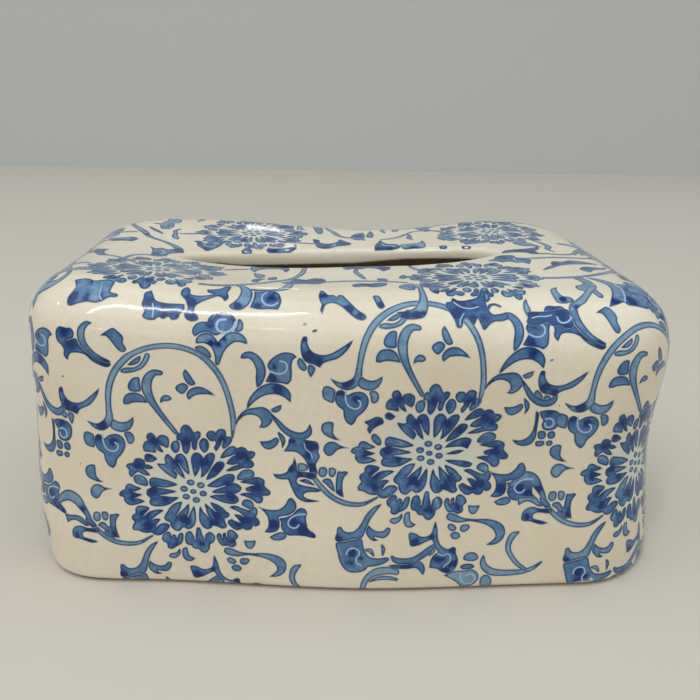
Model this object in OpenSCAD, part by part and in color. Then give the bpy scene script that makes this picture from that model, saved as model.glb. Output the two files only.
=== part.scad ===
// Tissue box cover: a hand-finished ceramic shell, open below, with a pointed slot in its top and four
// thin anti-slip strips stuck under its foot. Millimetres, +Z up, front towards -Y.
// The origin is on the table, under the middle of the cover.

/* [Cover] */
// Nominal width from side to side, before the walls swell and draw in
cover_w = 255; // [245:1:300]
// Nominal depth from front to back
cover_d = 160; // [140:1:200]
// Nominal height from the table to the top
cover_h = 117; // [95:1:150]
// Thickness of the fired wall
wall = 5.5; // [4:0.5:7]
// Radius of the upright corners, seen from above
corner_r = 35; // [28:1:45]

/* [Shoulder] */
// Radius of the shoulder between the walls and the top
shoulder_r = 21.4; // [16:0.2:28]
// How much the shoulder radius grows towards the right and shrinks towards the left
shoulder_lean = 1.5; // [0:0.1:4]

/* [Slot] */
// Length of the slot from tip to tip
slot_l = 139; // [100:1:160]
// Width of the slot at its middle
slot_w = 37.5; // [25:0.5:60]
// Sideways place of the middle of the slot
slot_x = -4.5; // [-12:0.5:12]
// Place of the middle of the slot from front to back
slot_y = -3; // [-10:0.5:10]
// Radius that rounds the upper edge of the slot
lip_r = 3; // [1:0.25:3.5]
// Radius that rounds the lower edge of the slot
lip_under_r = 1.25; // [0.5:0.25:1.25]

/* [Foot] */
// Width of the foot rim, which is a little thicker than the wall
foot_w = 7.5; // [7:0.25:10]
// Height over which the foot thins to the wall
foot_h = 16; // [8:1:30]
// Radius that rounds the outer edge of the foot
foot_r = 2.5; // [1:0.25:2.75]
// Radius that rounds the inner edge of the foot
foot_inner_r = 0.75; // [0.25:0.25:1]

/* [Hand-formed walls] */
// How far the left wall swells near the foot
left_swell = 2; // [0:0.1:4]
// How far the right wall draws in at its waist
right_waist = 3; // [0:0.1:5]
// How far the front wall waves in and out
front_wave = 4.4; // [0:0.1:6]
// How far the back wall waves in and out
back_wave = 1.8; // [0:0.1:6]

/* [Hand-formed top] */
// Rise of the back left corner
back_left_rise = 6.5; // [0:0.5:9]
// Rise of the back right corner
back_right_rise = 7.4; // [0:0.2:9]
// Rise of the front left corner
front_left_rise = 3.8; // [0:0.2:6]
// Fall of the front right corner
front_right_fall = 1.2; // [0:0.2:4]
// Depth of the hollow around the left half of the slot
dish = 5.4; // [0:0.2:7]

/* [Anti-slip strips] */
// Thickness of a strip, which is the gap between foot and table
strip_t = 0.8; // [0.5:0.1:2]
// Width of a strip
strip_w = 3.6; // [2:0.2:3.8]
// Length of a strip along the foot rim
strip_l = 40; // [24:1:50]

/* [Hidden] */

glaze_colour = [0.90, 0.87, 0.78];
strip_colour = [0.13, 0.13, 0.14];

// Points around the outline, a multiple of four
stations = 100;
// Rings in each stretch of the section
foot_rings = 3;
wall_rings = 14;
shoulder_rings = 8;
top_rings = 9;
lip_rings = 4;
under_rings = 5;
inner_shoulder_rings = 5;
inner_wall_rings = 5;
foot_inner_rings = 2;
// Points along an anti-slip strip
strip_points = 15;

half_w = cover_w / 2;
half_d = cover_d / 2;
shell_h = cover_h - strip_t;

// Rows of height share and swell share for the two side walls
left_swell_shares = [[0, 0.35], [0.2, 1], [0.75, -0.3], [1, -0.45]];
right_waist_shares = [[0, 0.67], [0.57, -1], [1, -0.1]];
// Rows of width share and wave share for the front and back walls
front_wave_shares = [[-1, 0], [-0.75, -0.93], [0.1, 1], [0.7, 0.55], [1, 0]];
back_wave_shares = [[-1, 0], [-0.5, 1], [0.15, -1], [0.7, 0.6], [1, 0]];
// Place and spread, as shares of the half width, of the back left rise, back right rise and front rises
corner_rise_shares = [-0.58, 0.57, 0.62, 0.31, 0.8, 0.35];
// Place and spreads of the hollow, as shares of the half width and half depth
dish_shares = [-0.39, 0.46, 0.6];
// Power that draws the ends of the slot to points
slot_point_share = 1.15;
// Power that crowds the rings of the inner wall towards the foot
inner_ring_power = 1.5;

// Straight and round runs of a quarter of the outline
side_run = half_d - corner_r;
corner_run = corner_r * PI / 2;
quarter_run = side_run + corner_run + half_w - corner_r;

function ease(s) = let(c = min(1, max(0, s))) c * c * (3 - 2 * c);

// Smooth value at q between rows of place and value
function eased(rows, q, i = 0) =
  i == len(rows) - 2 || q <= rows[i + 1][0]
    ? rows[i][1] + (rows[i + 1][1] - rows[i][1]) * ease((q - rows[i][0]) / (rows[i + 1][0] - rows[i][0]))
    : eased(rows, q, i + 1);

// Place and outward direction on the outline, d along it from the middle of the right side
function quarter_outline(d) =
  d < side_run
    ? [[half_w, d], [1, 0]]
    : d < side_run + corner_run
      ? let(a = (d - side_run) / corner_run * 90, n = [cos(a), sin(a)])
        [[half_w - corner_r, half_d - corner_r] + corner_r * n, n]
      : [[half_w - corner_r - (d - side_run - corner_run), half_d], [0, 1]];

function outline_at(run) =
  let(
    quarter = floor(run / quarter_run),
    d = run - quarter * quarter_run,
    q = quarter_outline(quarter % 2 == 0 ? d : quarter_run - d),
    sx = quarter == 0 || quarter == 3 ? 1 : -1,
    sy = quarter < 2 ? 1 : -1
  )
  [[sx * q[0].x, sy * q[0].y], [sx * q[1].x, sy * q[1].y]];

function rightness(p) = (1 + p.x / half_w) / 2;

// How far the hand-formed wall stands outside the outline, at a share of the wall's height
function swell(s, height_share) =
  let(right = rightness(s[0]), across = s[0].x / half_w)
  (1 - right) * left_swell * eased(left_swell_shares, height_share)
  + right * right_waist * eased(right_waist_shares, height_share)
  + front_wave * eased(front_wave_shares, across) * pow(max(0, -s[1].y), 2)
  + back_wave * eased(back_wave_shares, across) * pow(max(0, s[1].y), 2);

function bump(u, place, spread) = exp(-pow((u - place) / spread, 2));

// Rise of the hand-formed top above its nominal height
function crown(p) =
  let(
    u = p.x / half_w,
    v = p.y / half_d,
    back = (1 + v) / 2,
    c = corner_rise_shares,
    h = dish_shares
  )
  back * (back_left_rise * bump(u, c[0], c[1]) + back_right_rise * bump(u, c[2], c[3]))
  + (1 - back) * (front_left_rise * bump(u, -c[4], c[5]) - front_right_fall * bump(u, c[4], c[5]))
  - dish * bump(u, h[0], h[1]) * bump(v, 0, h[2]);

// A point of the shell: its height stretches with the rise of the top above it
function lifted(p, z) = [p.x, p.y, strip_t + z * (1 + crown(p) / shell_h)];

function shoulder_at(s) = shoulder_r + shoulder_lean * s[0].x / half_w;

// A point at a depth below the nominal outline, level z
function walled(s, height_share, inset, z) = lifted(s[0] + (swell(s, height_share) - inset) * s[1], z);

// The slot's outline, grown by e all round, at station i
function slot_point(i, e) =
  let(a = 360 * i / stations, across = sin(a))
  [
    slot_x + (slot_l / 2 + e) * cos(a),
    slot_y + (slot_w / 2 + e) * sign(across) * pow(abs(across), slot_point_share)
  ];

function steps(first, last, n) = [for (k = [0 : n - 1]) first + (last - first) * k / (n - 1)];

// Thickness of the wall, which grows towards the foot
function thickness(height_share) = wall + (foot_w - wall) * (1 - ease(height_share * shell_h / foot_h));

S = [for (i = [0 : stations - 1]) outline_at(4 * quarter_run * i / stations)];

// The section's rings in order: outside upwards, over the top, through the slot and down the inside
outer_foot = [
  for (a = steps(0, 90, foot_rings + 1))
    [for (s = S) walled(s, 0, foot_r * (1 - sin(a)), foot_r * (1 - cos(a)))]
];
outer_wall = [
  for (q = [1 : wall_rings])
    [
      for (s = S)
        let(top = shell_h - shoulder_at(s), z = foot_r + (top - foot_r) * q / wall_rings)
        walled(s, (z - foot_r) / (top - foot_r), 0, z)
    ]
];
outer_shoulder = [
  for (a = [1 : shoulder_rings])
    [
      for (s = S)
        let(r = shoulder_at(s), g = 90 * a / shoulder_rings)
        walled(s, 1, r * (1 - cos(g)), shell_h - r + r * sin(g))
    ]
];

// A ring between the shoulder's end and the slot, t from 0 to 1
function deck_ring(t, e, z) =
  [
    for (i = [0 : stations - 1])
      let(s = S[i], edge = s[0] + (swell(s, 1) - shoulder_at(s)) * s[1])
      lifted(edge + (slot_point(i, e) - edge) * t, z)
  ];
top_deck = [for (k = [1 : top_rings]) deck_ring(k / top_rings, lip_r, shell_h)];
upper_lip = [
  for (k = [1 : lip_rings])
    let(g = 90 * k / lip_rings)
    [for (i = [0 : stations - 1]) lifted(slot_point(i, lip_r * (1 - sin(g))), shell_h - lip_r * (1 - cos(g)))]
];
lower_lip = [
  for (k = [0 : lip_rings - 1])
    let(g = 90 * k / (lip_rings - 1), r = lip_under_r)
    [for (i = [0 : stations - 1]) lifted(slot_point(i, r * (1 - cos(g))), shell_h - wall + r * (1 - sin(g)))]
];
under_deck = [
  for (k = [under_rings - 1 : -1 : 0]) deck_ring(k / under_rings, lip_under_r, shell_h - wall)
];
inner_shoulder = [
  for (a = [inner_shoulder_rings - 1 : -1 : 0])
    [
      for (s = S)
        let(r = shoulder_at(s), g = 90 * a / inner_shoulder_rings, c = r - wall)
        walled(s, 1, r - c * cos(g), shell_h - r + c * sin(g))
    ]
];
inner_wall = [
  for (q = [inner_wall_rings - 1 : -1 : 0])
    [
      for (s = S)
        let(
          top = shell_h - shoulder_at(s),
          low = foot_inner_r,
          z = low + (top - low) * pow(q / inner_wall_rings, inner_ring_power),
          share = z / top
        )
        walled(s, share, thickness(share), z)
    ]
];
inner_foot = [
  for (a = [1 : foot_inner_rings])
    let(g = 90 * a / foot_inner_rings, r = foot_inner_r)
    [for (s = S) walled(s, 0, foot_w - r * (1 - cos(g)), r * (1 - sin(g)))]
];

rings = concat(
  outer_foot, outer_wall, outer_shoulder, top_deck, upper_lip,
  lower_lip, under_deck, inner_shoulder, inner_wall, inner_foot
);
shell_points = [for (r = rings) each r];
// The outermost ring points set the shift that centres the cover on the origin
xs = [for (p = shell_points) p.x];
ys = [for (p = shell_points) p.y];
centring = [-(min(xs) + max(xs)) / 2, -(min(ys) + max(ys)) / 2, 0];

// Triangles between each ring and the next, the last ring joining the first
shell_faces = [
  for (j = [0 : len(rings) - 1], i = [0 : stations - 1])
    let(
      here = j * stations,
      next = (j + 1) % len(rings) * stations,
      right = (i + 1) % stations
    )
    each [[here + i, next + i, next + right], [here + i, next + right, here + right]]
];

module cover_shell() {
  color(glaze_colour)
    translate(centring)
      polyhedron(points = shell_points, faces = shell_faces, convexity = 10);
}

// The outline's run at the middle of the corner of a quarter
function corner_middle(quarter) =
  let(middle = side_run + corner_run / 2)
  quarter * quarter_run + (quarter % 2 == 0 ? middle : quarter_run - middle);

// A strip follows the middle of the flat of the foot rim round one corner
module strip(quarter) {
  seat = (foot_r + foot_w - foot_inner_r) / 2;
  runs = steps(corner_middle(quarter) - strip_l / 2, corner_middle(quarter) + strip_l / 2, strip_points);
  edge = function(inset) [for (run = runs) let(s = outline_at(run)) s[0] + (swell(s, 0) - inset) * s[1]];
  outer = edge(seat - strip_w / 2);
  inner = edge(seat + strip_w / 2);
  color(strip_colour)
    translate(centring)
      linear_extrude(height = strip_t)
        polygon(concat(outer, [for (k = [len(inner) - 1 : -1 : 0]) inner[k]]));
}

module strip_rear_right() {
  strip(0);
}

module strip_rear_left() {
  strip(1);
}

module strip_front_left() {
  strip(2);
}

module strip_front_right() {
  strip(3);
}

cover_shell();
strip_front_left();
strip_front_right();
strip_rear_left();
strip_rear_right();
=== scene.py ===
import math

import bpy
import numpy as np
from mathutils import Matrix, Vector, geometry
from mathutils.bvhtree import BVHTree
from mathutils.interpolate import poly_3d_calc


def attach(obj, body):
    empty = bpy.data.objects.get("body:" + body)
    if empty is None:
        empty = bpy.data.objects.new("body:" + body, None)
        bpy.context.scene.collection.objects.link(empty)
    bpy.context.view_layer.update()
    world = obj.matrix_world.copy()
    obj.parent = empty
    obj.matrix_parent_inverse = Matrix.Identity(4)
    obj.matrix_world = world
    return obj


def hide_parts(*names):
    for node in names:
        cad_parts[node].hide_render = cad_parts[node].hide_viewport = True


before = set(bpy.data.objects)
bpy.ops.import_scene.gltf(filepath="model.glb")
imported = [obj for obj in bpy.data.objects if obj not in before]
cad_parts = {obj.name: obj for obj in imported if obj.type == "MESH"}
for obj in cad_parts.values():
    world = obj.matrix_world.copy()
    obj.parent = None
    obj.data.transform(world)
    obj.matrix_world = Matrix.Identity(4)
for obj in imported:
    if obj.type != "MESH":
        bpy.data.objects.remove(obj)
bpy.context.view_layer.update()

MM = 0.001


# Camera

CAMERA_PLACE = Vector((-19.02, -331.1, 185.91)) * MM
HEADING = Vector((0.0598, 0.9982, 0))
PITCH = math.radians(18.94)
ROLL = math.radians(1.18)
FOCAL_LENGTH = 38.53
FILM_WIDTH = 36


def add_camera():
    forward = HEADING * math.cos(PITCH) - Vector((0, 0, math.sin(PITCH)))
    level = Vector((HEADING.y, -HEADING.x, 0))
    up = level.cross(forward)
    right = math.cos(ROLL) * level + math.sin(ROLL) * up
    above = math.cos(ROLL) * up - math.sin(ROLL) * level
    data = bpy.data.cameras.new("camera")
    data.lens = FOCAL_LENGTH
    data.sensor_width = FILM_WIDTH
    camera = bpy.data.objects.new("camera", data)
    bpy.context.scene.collection.objects.link(camera)
    turn = Matrix((right, above, -forward)).transposed().to_4x4()
    camera.matrix_world = Matrix.Translation(CAMERA_PLACE) @ turn
    bpy.context.scene.camera = camera


add_camera()
bpy.context.scene.view_settings.view_transform = "Standard"


# Finishes

# The Mix node's sockets for colours
MIX_SHARE, MIX_FIRST, MIX_SECOND, MIX_RESULT = 0, 6, 7, 2


def colour(red, green, blue):
    """A screen colour from 0 to 255 as the linear colour that a shader takes."""
    parts = [c / 255 for c in (red, green, blue)]
    return [c / 12.92 if c <= 0.04045 else ((c + 0.055) / 1.055) ** 2.4 for c in parts] + [1]


class Field:
    """A number that changes over a surface; sums with it add Math nodes."""

    def __init__(self, finish, socket):
        self.finish = finish
        self.socket = socket

    def math(self, operation, *values):
        return self.finish.node("ShaderNodeMath", {"operation": operation}, values)

    def __add__(self, other):
        return self.math("ADD", self, other)

    def __sub__(self, other):
        return self.math("SUBTRACT", self, other)

    def __rsub__(self, other):
        return self.math("SUBTRACT", other, self)

    def __mul__(self, other):
        return self.math("MULTIPLY", self, other)

    __radd__ = __add__
    __rmul__ = __mul__

    def least(self, other):
        return self.math("MINIMUM", self, other)

    def rise(self, low, high):
        """Goes smoothly from 0 at low up to 1 at high."""
        settings = {"interpolation_type": "SMOOTHSTEP"}
        return self.finish.node("ShaderNodeMapRange", settings, [self, low, high])

    def fall(self, low, high):
        """Goes smoothly from 1 at low down to 0 at high."""
        return 1 - self.rise(low, high)

    def swing(self, amount):
        """A noise made into a change of up to half the amount either way."""
        return (self - 0.5) * amount


class Finish:
    """A material, built around its Principled shader."""

    def __init__(self, name, **constants):
        self.material = bpy.data.materials.new(name)
        self.material.use_nodes = True
        self.nodes = self.material.node_tree.nodes
        self.links = self.material.node_tree.links
        self.shader = self.nodes["Principled BSDF"]
        self.place = self.node("ShaderNodeTexCoord", {}, [], "Object")
        for name, value in constants.items():
            self.shader.inputs[name.replace("_", " ")].default_value = value

    def put(self, socket, value):
        if isinstance(value, Field):
            self.links.new(value.socket, socket)
        else:
            socket.default_value = value

    def node(self, kind, settings, inputs, output=0):
        """Adds a node: its settings first, then its sockets in order or by name."""
        node = self.nodes.new(kind)
        for name, value in settings.items():
            setattr(node, name, value)
        pairs = inputs.items() if isinstance(inputs, dict) else enumerate(inputs)
        for key, value in pairs:
            self.put(node.inputs[key], value)
        return Field(self, node.outputs[output])

    def noise(self, scale, detail=2.0, roughness=0.5, place=None):
        values = {"Vector": place or self.place, "Scale": scale, "Detail": detail, "Roughness": roughness}
        return self.node("ShaderNodeTexNoise", {}, values)

    def blend(self, share, first, second):
        """A colour between two colours."""
        node = self.nodes.new("ShaderNodeMix")
        node.data_type = "RGBA"
        for key, value in ((MIX_SHARE, share), (MIX_FIRST, first), (MIX_SECOND, second)):
            self.put(node.inputs[key], value)
        return Field(self, node.outputs[MIX_RESULT])

    def attribute(self, name, output="Fac"):
        return self.node("ShaderNodeAttribute", {"attribute_name": name}, [], output)

    def bump(self, height, distance, strength=1.0):
        values = {"Height": height, "Distance": distance, "Strength": strength}
        self.feed("Normal", self.node("ShaderNodeBump", {}, values))

    def feed(self, name, value):
        self.put(self.shader.inputs[name], value)


CREAM = colour(215, 197, 170)
CREAM_PALE = colour(225, 210, 187)
CREAM_WARM = colour(205, 185, 155)
NAVY = colour(4, 34, 74)
BLUE_POOL = colour(0, 36, 94)
BLUE_DEEP = colour(30, 70, 120)
BLUE_MID = colour(72, 108, 146)
BLUE_PALE = colour(124, 150, 166)
BLUE_LINE = colour(156, 180, 200)
BLUE_HAZE = colour(196, 200, 192)
BLUE_BLEED = colour(138, 154, 164)
SPECK_BROWN = colour(90, 70, 48)
BARE_CLAY = colour(205, 190, 162)
RUBBER_DARK = colour(26, 26, 28)
RUBBER_WORN = colour(46, 46, 48)
GLAZE = {"Roughness": 0.08, "IOR": 1.45}
# The glaze ends over the foot between these heights, on a line that wanders, in metres
GLAZE_END = (0.0019, 0.0027)
GLAZE_END_WANDER = 0.0012
# Bands in from a shape's edge, in millimetres: its pale bleed, its drawn line, its deeper rim, its haze
BLEED_BAND = (0, 0.34)
LINE_BAND = (0.34, 0.78)
RIM_BAND = (0.35, 1.0)
HAZE_BAND = (0, 11)
# The tones that mark a line left bare and a haze; a wash has a tone of 0 or more
RESERVED = -1
HAZED = -2
# A tone this far above its mark, from the first to the second, stops counting as it
MARK_BAND = (0.2, 0.6)


def glaze_cream(finish):
    """The cream of the glaze with its slow drifts of tone and fine mottle."""
    drift = finish.noise(scale=14).rise(0.35, 0.7)
    mottle = finish.noise(scale=420, detail=3.0).rise(0.3, 0.75)
    base = finish.blend(drift, CREAM_PALE, CREAM)
    return finish.blend(mottle * 0.22, base, CREAM_WARM)


def glaze_surface(finish):
    """The slow waves and orange peel that glaze keeps when it has run and set."""
    waves = finish.noise(scale=38, detail=1.5)
    peel = finish.noise(scale=260)
    finish.bump(waves * 0.8 + peel * 0.06, distance=0.0009, strength=0.35)


def make_glaze():
    finish = Finish("glaze", **GLAZE)
    height = finish.node("ShaderNodeSeparateXYZ", {}, [finish.place], "Z")
    dots = finish.node("ShaderNodeTexVoronoi", {}, {"Vector": finish.place, "Scale": 55})
    few = finish.noise(scale=31, detail=0.0).rise(0.63, 0.66)
    speck = dots.fall(0.012, 0.02) * few
    cream = finish.blend(speck * 0.7, glaze_cream(finish), SPECK_BROWN)
    bare = (height + finish.noise(scale=90) * GLAZE_END_WANDER).fall(*GLAZE_END)
    finish.feed("Base Color", finish.blend(bare, cream, BARE_CLAY))
    finish.feed("Roughness", bare * 0.6 + GLAZE["Roughness"])
    glaze_surface(finish)
    return finish.material


def make_ink():
    """Blue under the same glaze: a dark line round each shape, a mottled wash and darker pools inside."""
    finish = Finish("blue_underglaze", **GLAZE)
    edge = finish.attribute("edge")
    tone = finish.attribute("tone")
    pool = finish.attribute("pool")
    patchy = finish.noise(scale=150, detail=3.0, roughness=0.6)
    fine = finish.noise(scale=620, detail=3.0, roughness=0.6)
    streaks = finish.noise(scale=9, roughness=0.6, place=finish.attribute("spoke", "Vector"))
    depth = tone * 1.05 + edge.fall(*RIM_BAND) * 0.4
    depth = depth + patchy.swing(1.1) + fine.swing(0.5) + streaks.swing(1.8) + pool * 0.8
    wash = finish.blend(depth.rise(0.0, 0.55), BLUE_PALE, BLUE_MID)
    wash = finish.blend(depth.rise(0.45, 1.0), wash, BLUE_DEEP)
    pooled = (pool + patchy.swing(0.9) + streaks.swing(0.8)).rise(0.3, 0.62)
    ink = finish.blend(pooled * 0.92, wash, BLUE_POOL)
    drawn = (edge + fine.swing(0.25)).fall(*LINE_BAND)
    ink = finish.blend(drawn * (tone * 0.4 + 0.62).least(0.94), ink, NAVY)
    ink = finish.blend(edge.fall(*BLEED_BAND) * 0.75, ink, BLUE_BLEED)
    ink = finish.blend((tone - RESERVED).fall(*MARK_BAND), ink, BLUE_LINE)
    spread = edge.rise(*HAZE_BAND) * (0.4 + patchy * 0.5)
    haze = finish.blend(spread, glaze_cream(finish), BLUE_HAZE)
    finish.feed("Base Color", finish.blend((tone - HAZED).fall(*MARK_BAND), ink, haze))
    glaze_surface(finish)
    return finish.material


def make_rubber():
    finish = Finish("dark_rubber", Roughness=0.75)
    grain = finish.noise(scale=900, detail=3.0)
    finish.feed("Base Color", finish.blend(grain, RUBBER_DARK, RUBBER_WORN))
    finish.bump(grain, distance=0.0001, strength=0.4)
    return finish.material


glaze = make_glaze()
ink = make_ink()
rubber = make_rubber()


# The glazed body: the lofted shell, smoothed

SAME_PLACE = 1e-6
SMOOTH_LEVELS = 2


def select_only(piece):
    bpy.ops.object.select_all(action="DESELECT")
    piece.select_set(True)
    bpy.context.view_layer.objects.active = piece


def add_body():
    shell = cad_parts["cover_shell"]
    mesh = shell.data.copy()
    mesh.name = "glazed_body"
    mesh.materials.clear()
    mesh.materials.append(glaze)
    body = bpy.data.objects.new("glazed_body", mesh)
    bpy.context.scene.collection.objects.link(body)
    select_only(body)
    bpy.ops.object.mode_set(mode="EDIT")
    bpy.ops.mesh.select_all(action="SELECT")
    bpy.ops.mesh.remove_doubles(threshold=SAME_PLACE)
    bpy.ops.mesh.tris_convert_to_quads(face_threshold=math.pi, shape_threshold=math.pi)
    bpy.ops.object.mode_set(mode="OBJECT")
    smooth = body.modifiers.new("smooth", "SUBSURF")
    smooth.levels = SMOOTH_LEVELS
    smooth.render_levels = SMOOTH_LEVELS
    bpy.ops.object.modifier_apply(modifier="smooth")
    bpy.ops.object.shade_smooth()
    shape_lips(mesh)
    return body


# The slot's middle and half its length and width, in millimetres
SLOT_X, SLOT_Y, SLOT_HALF_L, SLOT_HALF_W = -4.5, -3, 69.5, 18.75
# A power of 0.5 makes an ellipse, and a higher one draws the ends out to points
SLOT_POWER = 0.575
# How much the near lip swells up and the far lip hangs down, by x, in millimetres
NEAR_SWELL = ((-72, -60, -43, 1, 27, 45), (0, 0.6, 1.0, 1.25, 0.4, 0))
FAR_HANG = ((-60, -50, -20, 3, 15, 27), (0, 1.3, 1.6, 1.7, 0.8, 0))
# How far from the slot the swell and the hang fade out
NEAR_REACH, FAR_REACH = 26, 12
# Only places above this height move
LIPS_ABOVE = 80
# The far lip doesn't hang where it faces up this much, and hangs fully where it faces up by the fade less
HANG_FACING, HANG_FADE = 0.75, 0.9


def eased(share):
    """A share from 0 to 1 that starts and ends slowly."""
    return share * share * (3 - 2 * share)


def shape_lips(mesh):
    """The hand-formed swell of the slot's two long lips."""
    places, normals = np.empty(len(mesh.vertices) * 3), np.empty(len(mesh.vertices) * 3)
    mesh.vertices.foreach_get("co", places)
    mesh.vertices.foreach_get("normal", normals)
    places = places.reshape(-1, 3) / MM
    x, y, z = places.T
    across = np.clip(1 - ((x - SLOT_X) / SLOT_HALF_L) ** 2, 0, 1)
    off = np.abs(y - SLOT_Y) - SLOT_HALF_W * across**SLOT_POWER
    near = y < SLOT_Y
    close = np.clip(1 - np.maximum(off, 0) / np.where(near, NEAR_REACH, FAR_REACH), 0, 1)
    close = eased(close) * (z > LIPS_ABOVE)
    low = np.clip((HANG_FACING - normals[2::3]) / HANG_FADE, 0, 1)
    rise = np.where(near, np.interp(x, *NEAR_SWELL), -np.interp(x, *FAR_HANG) * low)
    places[:, 2] += rise * close
    mesh.vertices.foreach_set("co", (places * MM).ravel())
    mesh.update()


body = add_body()
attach(body, "root")
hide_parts("cover_shell")


# The printed sheets: flat places in millimetres and how they lie on the body

# The plain rounded box that the wall's sheet is wound round
HALF_W, HALF_D, CORNER, SHOULDER, HEIGHT = 127.5, 80, 35, 21.4, 117
SIDE_RUN = HALF_D - CORNER
FRONT_RUN = HALF_W - CORNER
CORNER_RUN = CORNER * math.pi / 2
QUARTER_RUN = SIDE_RUN + CORNER_RUN + FRONT_RUN
PERIMETER = 4 * QUARTER_RUN
SPRING = HEIGHT - SHOULDER
# Where a ray starts, out from the shoulder's centre line and up from the foot
RAY_OUT = 80
RAY_UP = 200


def outline_at(run):
    """Place and outward direction on the plan, run mm to the right of the middle of the front."""
    run %= PERIMETER
    right = run <= PERIMETER / 2
    half = run if right else PERIMETER - run
    d = half if half <= QUARTER_RUN else 2 * QUARTER_RUN - half
    if d < FRONT_RUN:
        p, n = (d, HALF_D), (0, 1)
    elif d < FRONT_RUN + CORNER_RUN:
        turn = (d - FRONT_RUN) / CORNER
        n = (math.sin(turn), math.cos(turn))
        p = (FRONT_RUN + CORNER * n[0], SIDE_RUN + CORNER * n[1])
    else:
        p, n = (HALF_W, SIDE_RUN - (d - FRONT_RUN - CORNER_RUN)), (1, 0)
    sx = 1 if right else -1
    sy = -1 if half <= QUARTER_RUN else 1
    return (sx * p[0], sy * p[1]), (sx * n[0], sy * n[1])


def wall_ray(run, height):
    """The line that meets the wall at a place of its sheet, which bends inwards over the shoulder."""
    p, n = outline_at(run)
    turn = max(0.0, (height - SPRING) / SHOULDER)
    centre = Vector((p[0] - SHOULDER * n[0], p[1] - SHOULDER * n[1], min(height, SPRING)))
    out = Vector((n[0] * math.cos(turn), n[1] * math.cos(turn), math.sin(turn)))
    return (centre + RAY_OUT * out) * MM, -out


def top_ray(x, y):
    """The line that meets the top at a place of its sheet, which is a plan."""
    return Vector((x, y, RAY_UP)) * MM, Vector((0, 0, -1))


class Surface:
    """The body's outside, which the prints are laid on."""

    def __init__(self, piece):
        mesh = piece.data
        self.places = [v.co.copy() for v in mesh.vertices]
        self.normals = [v.normal.copy() for v in mesh.vertices]
        self.faces = [tuple(p.vertices) for p in mesh.polygons]
        self.tree = BVHTree.FromPolygons(self.places, self.faces)

    def meet(self, start, direction):
        place, _, face, _ = self.tree.ray_cast(start, direction)
        if place is None:
            return None
        corners = self.faces[face]
        weights = poly_3d_calc([self.places[c] for c in corners], place)
        normal = Vector((0, 0, 0))
        for c, w in zip(corners, weights):
            normal += self.normals[c] * w
        return place, normal.normalized()


surface = Surface(body)


# Brushwork: outlines and strokes in millimetres

# A smooth line's points are this far apart or less
STEP = 0.9
# The least width of a stroke, the half width from which an end is rounded, and the turns along its cap
THINNEST = 0.02
BLUNT = 0.3
CAP_TURNS = (45, 90, 135)
HAZE_POINTS = 24
# An outline grows by these shares, each only where a place this many times as far out is still outside
GROWTH_SHARES = (0.25, 0.5, 0.75, 1)
SLIT_CLEARANCE = 2.6
# How deep each ring of places lies inside an outline, and the share of it that they keep from any edge
RINGS = ((0.42, 0.92), (0.9, 0.9))
# The grid of places inside the rings, and how far it keeps from the outline
GRID_PITCH = 2.2
GRID_MARGIN = 1.5
# Keeps a division from dividing by nothing
TINY = 1e-9


def smooth_line(points, corners, closed):
    """Points along a smooth line through the given ones, which turns sharply only at the corners."""
    points = np.array(points, float)
    count = len(points)
    out = []
    for i in range(count if closed else count - 1):
        j = (i + 1) % count
        a, b = points[i], points[j]
        before = 2 * a - b if corners[i] else points[i - 1]
        after = 2 * b - a if corners[j] else points[(j + 1) % count]
        run = max(TINY, np.linalg.norm((b - a)[:2]))
        leave = (b - before) / (1 + np.linalg.norm((a - before)[:2]) / run)
        arrive = (after - a) / (1 + np.linalg.norm((after - b)[:2]) / run)
        steps = max(1, math.ceil(run / STEP))
        for t in np.arange(steps) / steps:
            out.append(
                (2 * t**3 - 3 * t**2 + 1) * a
                + (t**3 - 2 * t**2 + t) * leave
                + (3 * t**2 - 2 * t**3) * b
                + (t**3 - t**2) * arrive
            )
    if not closed:
        out.append(points[-1])
    return np.array(out)


def patch(tone, *points, layer=0):
    """A washed shape from its outline; a third number marks a corner."""
    line = smooth_line([p[:2] for p in points], [len(p) > 2 for p in points], True)
    return [line, tone, layer]


def brush(tone, *points, layer=0):
    """A stroke from its middle line (x, y, width), pointed where the width is 0."""
    ends = [i in (0, len(points) - 1) for i in range(len(points))]
    line = smooth_line(points, ends, False)
    middle, half = line[:, :2], np.maximum(line[:, 2], THINNEST) / 2
    along = np.gradient(middle, axis=0)
    along /= np.linalg.norm(along, axis=1)[:, None]
    across = np.stack([-along[:, 1], along[:, 0]], 1)
    left = middle + across * half[:, None]
    right = middle - across * half[:, None]

    def cap(k, sign):
        if half[k] < BLUNT:
            return []
        turns = [math.radians(a) for a in CAP_TURNS]
        return [
            middle[k] + half[k] * sign * (across[k] * math.cos(a) + along[k] * math.sin(a))
            for a in turns
        ]

    outline = [*left, *cap(-1, 1), *right[::-1], *cap(0, -1)]
    return [np.array(outline), tone, layer]


def reserve(width, *points):
    """A cream line left bare in the wash."""
    rows = [(x, y, width) for x, y in points]
    return brush(RESERVED, *rows, layer=1)


def haze(x, y, radius):
    """A round place where a little blue has spread through the glaze."""
    turns = [2 * math.pi * k / HAZE_POINTS for k in range(HAZE_POINTS)]
    ring = [(x + radius * math.cos(a), y + radius * math.sin(a)) for a in turns]
    return patch(HAZED, *ring, layer=-1)


def dark(x, y, reach):
    """A place where the blue has pooled, which has no layer of its own."""
    return [np.array([[x, y]], float), reach, None]


def moved(shapes, dx, dy, turn=0, size=1, about=(0, 0)):
    """A copy of a motif, turned in degrees and sized about a point and then shifted."""
    c, s = math.cos(math.radians(turn)) * size, math.sin(math.radians(turn)) * size
    spin = np.array([[c, s], [-s, c]])
    shift = np.array(about) + (dx, dy)
    return [[(line - about) @ spin + shift, tone, layer] for line, tone, layer in shapes]


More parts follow.
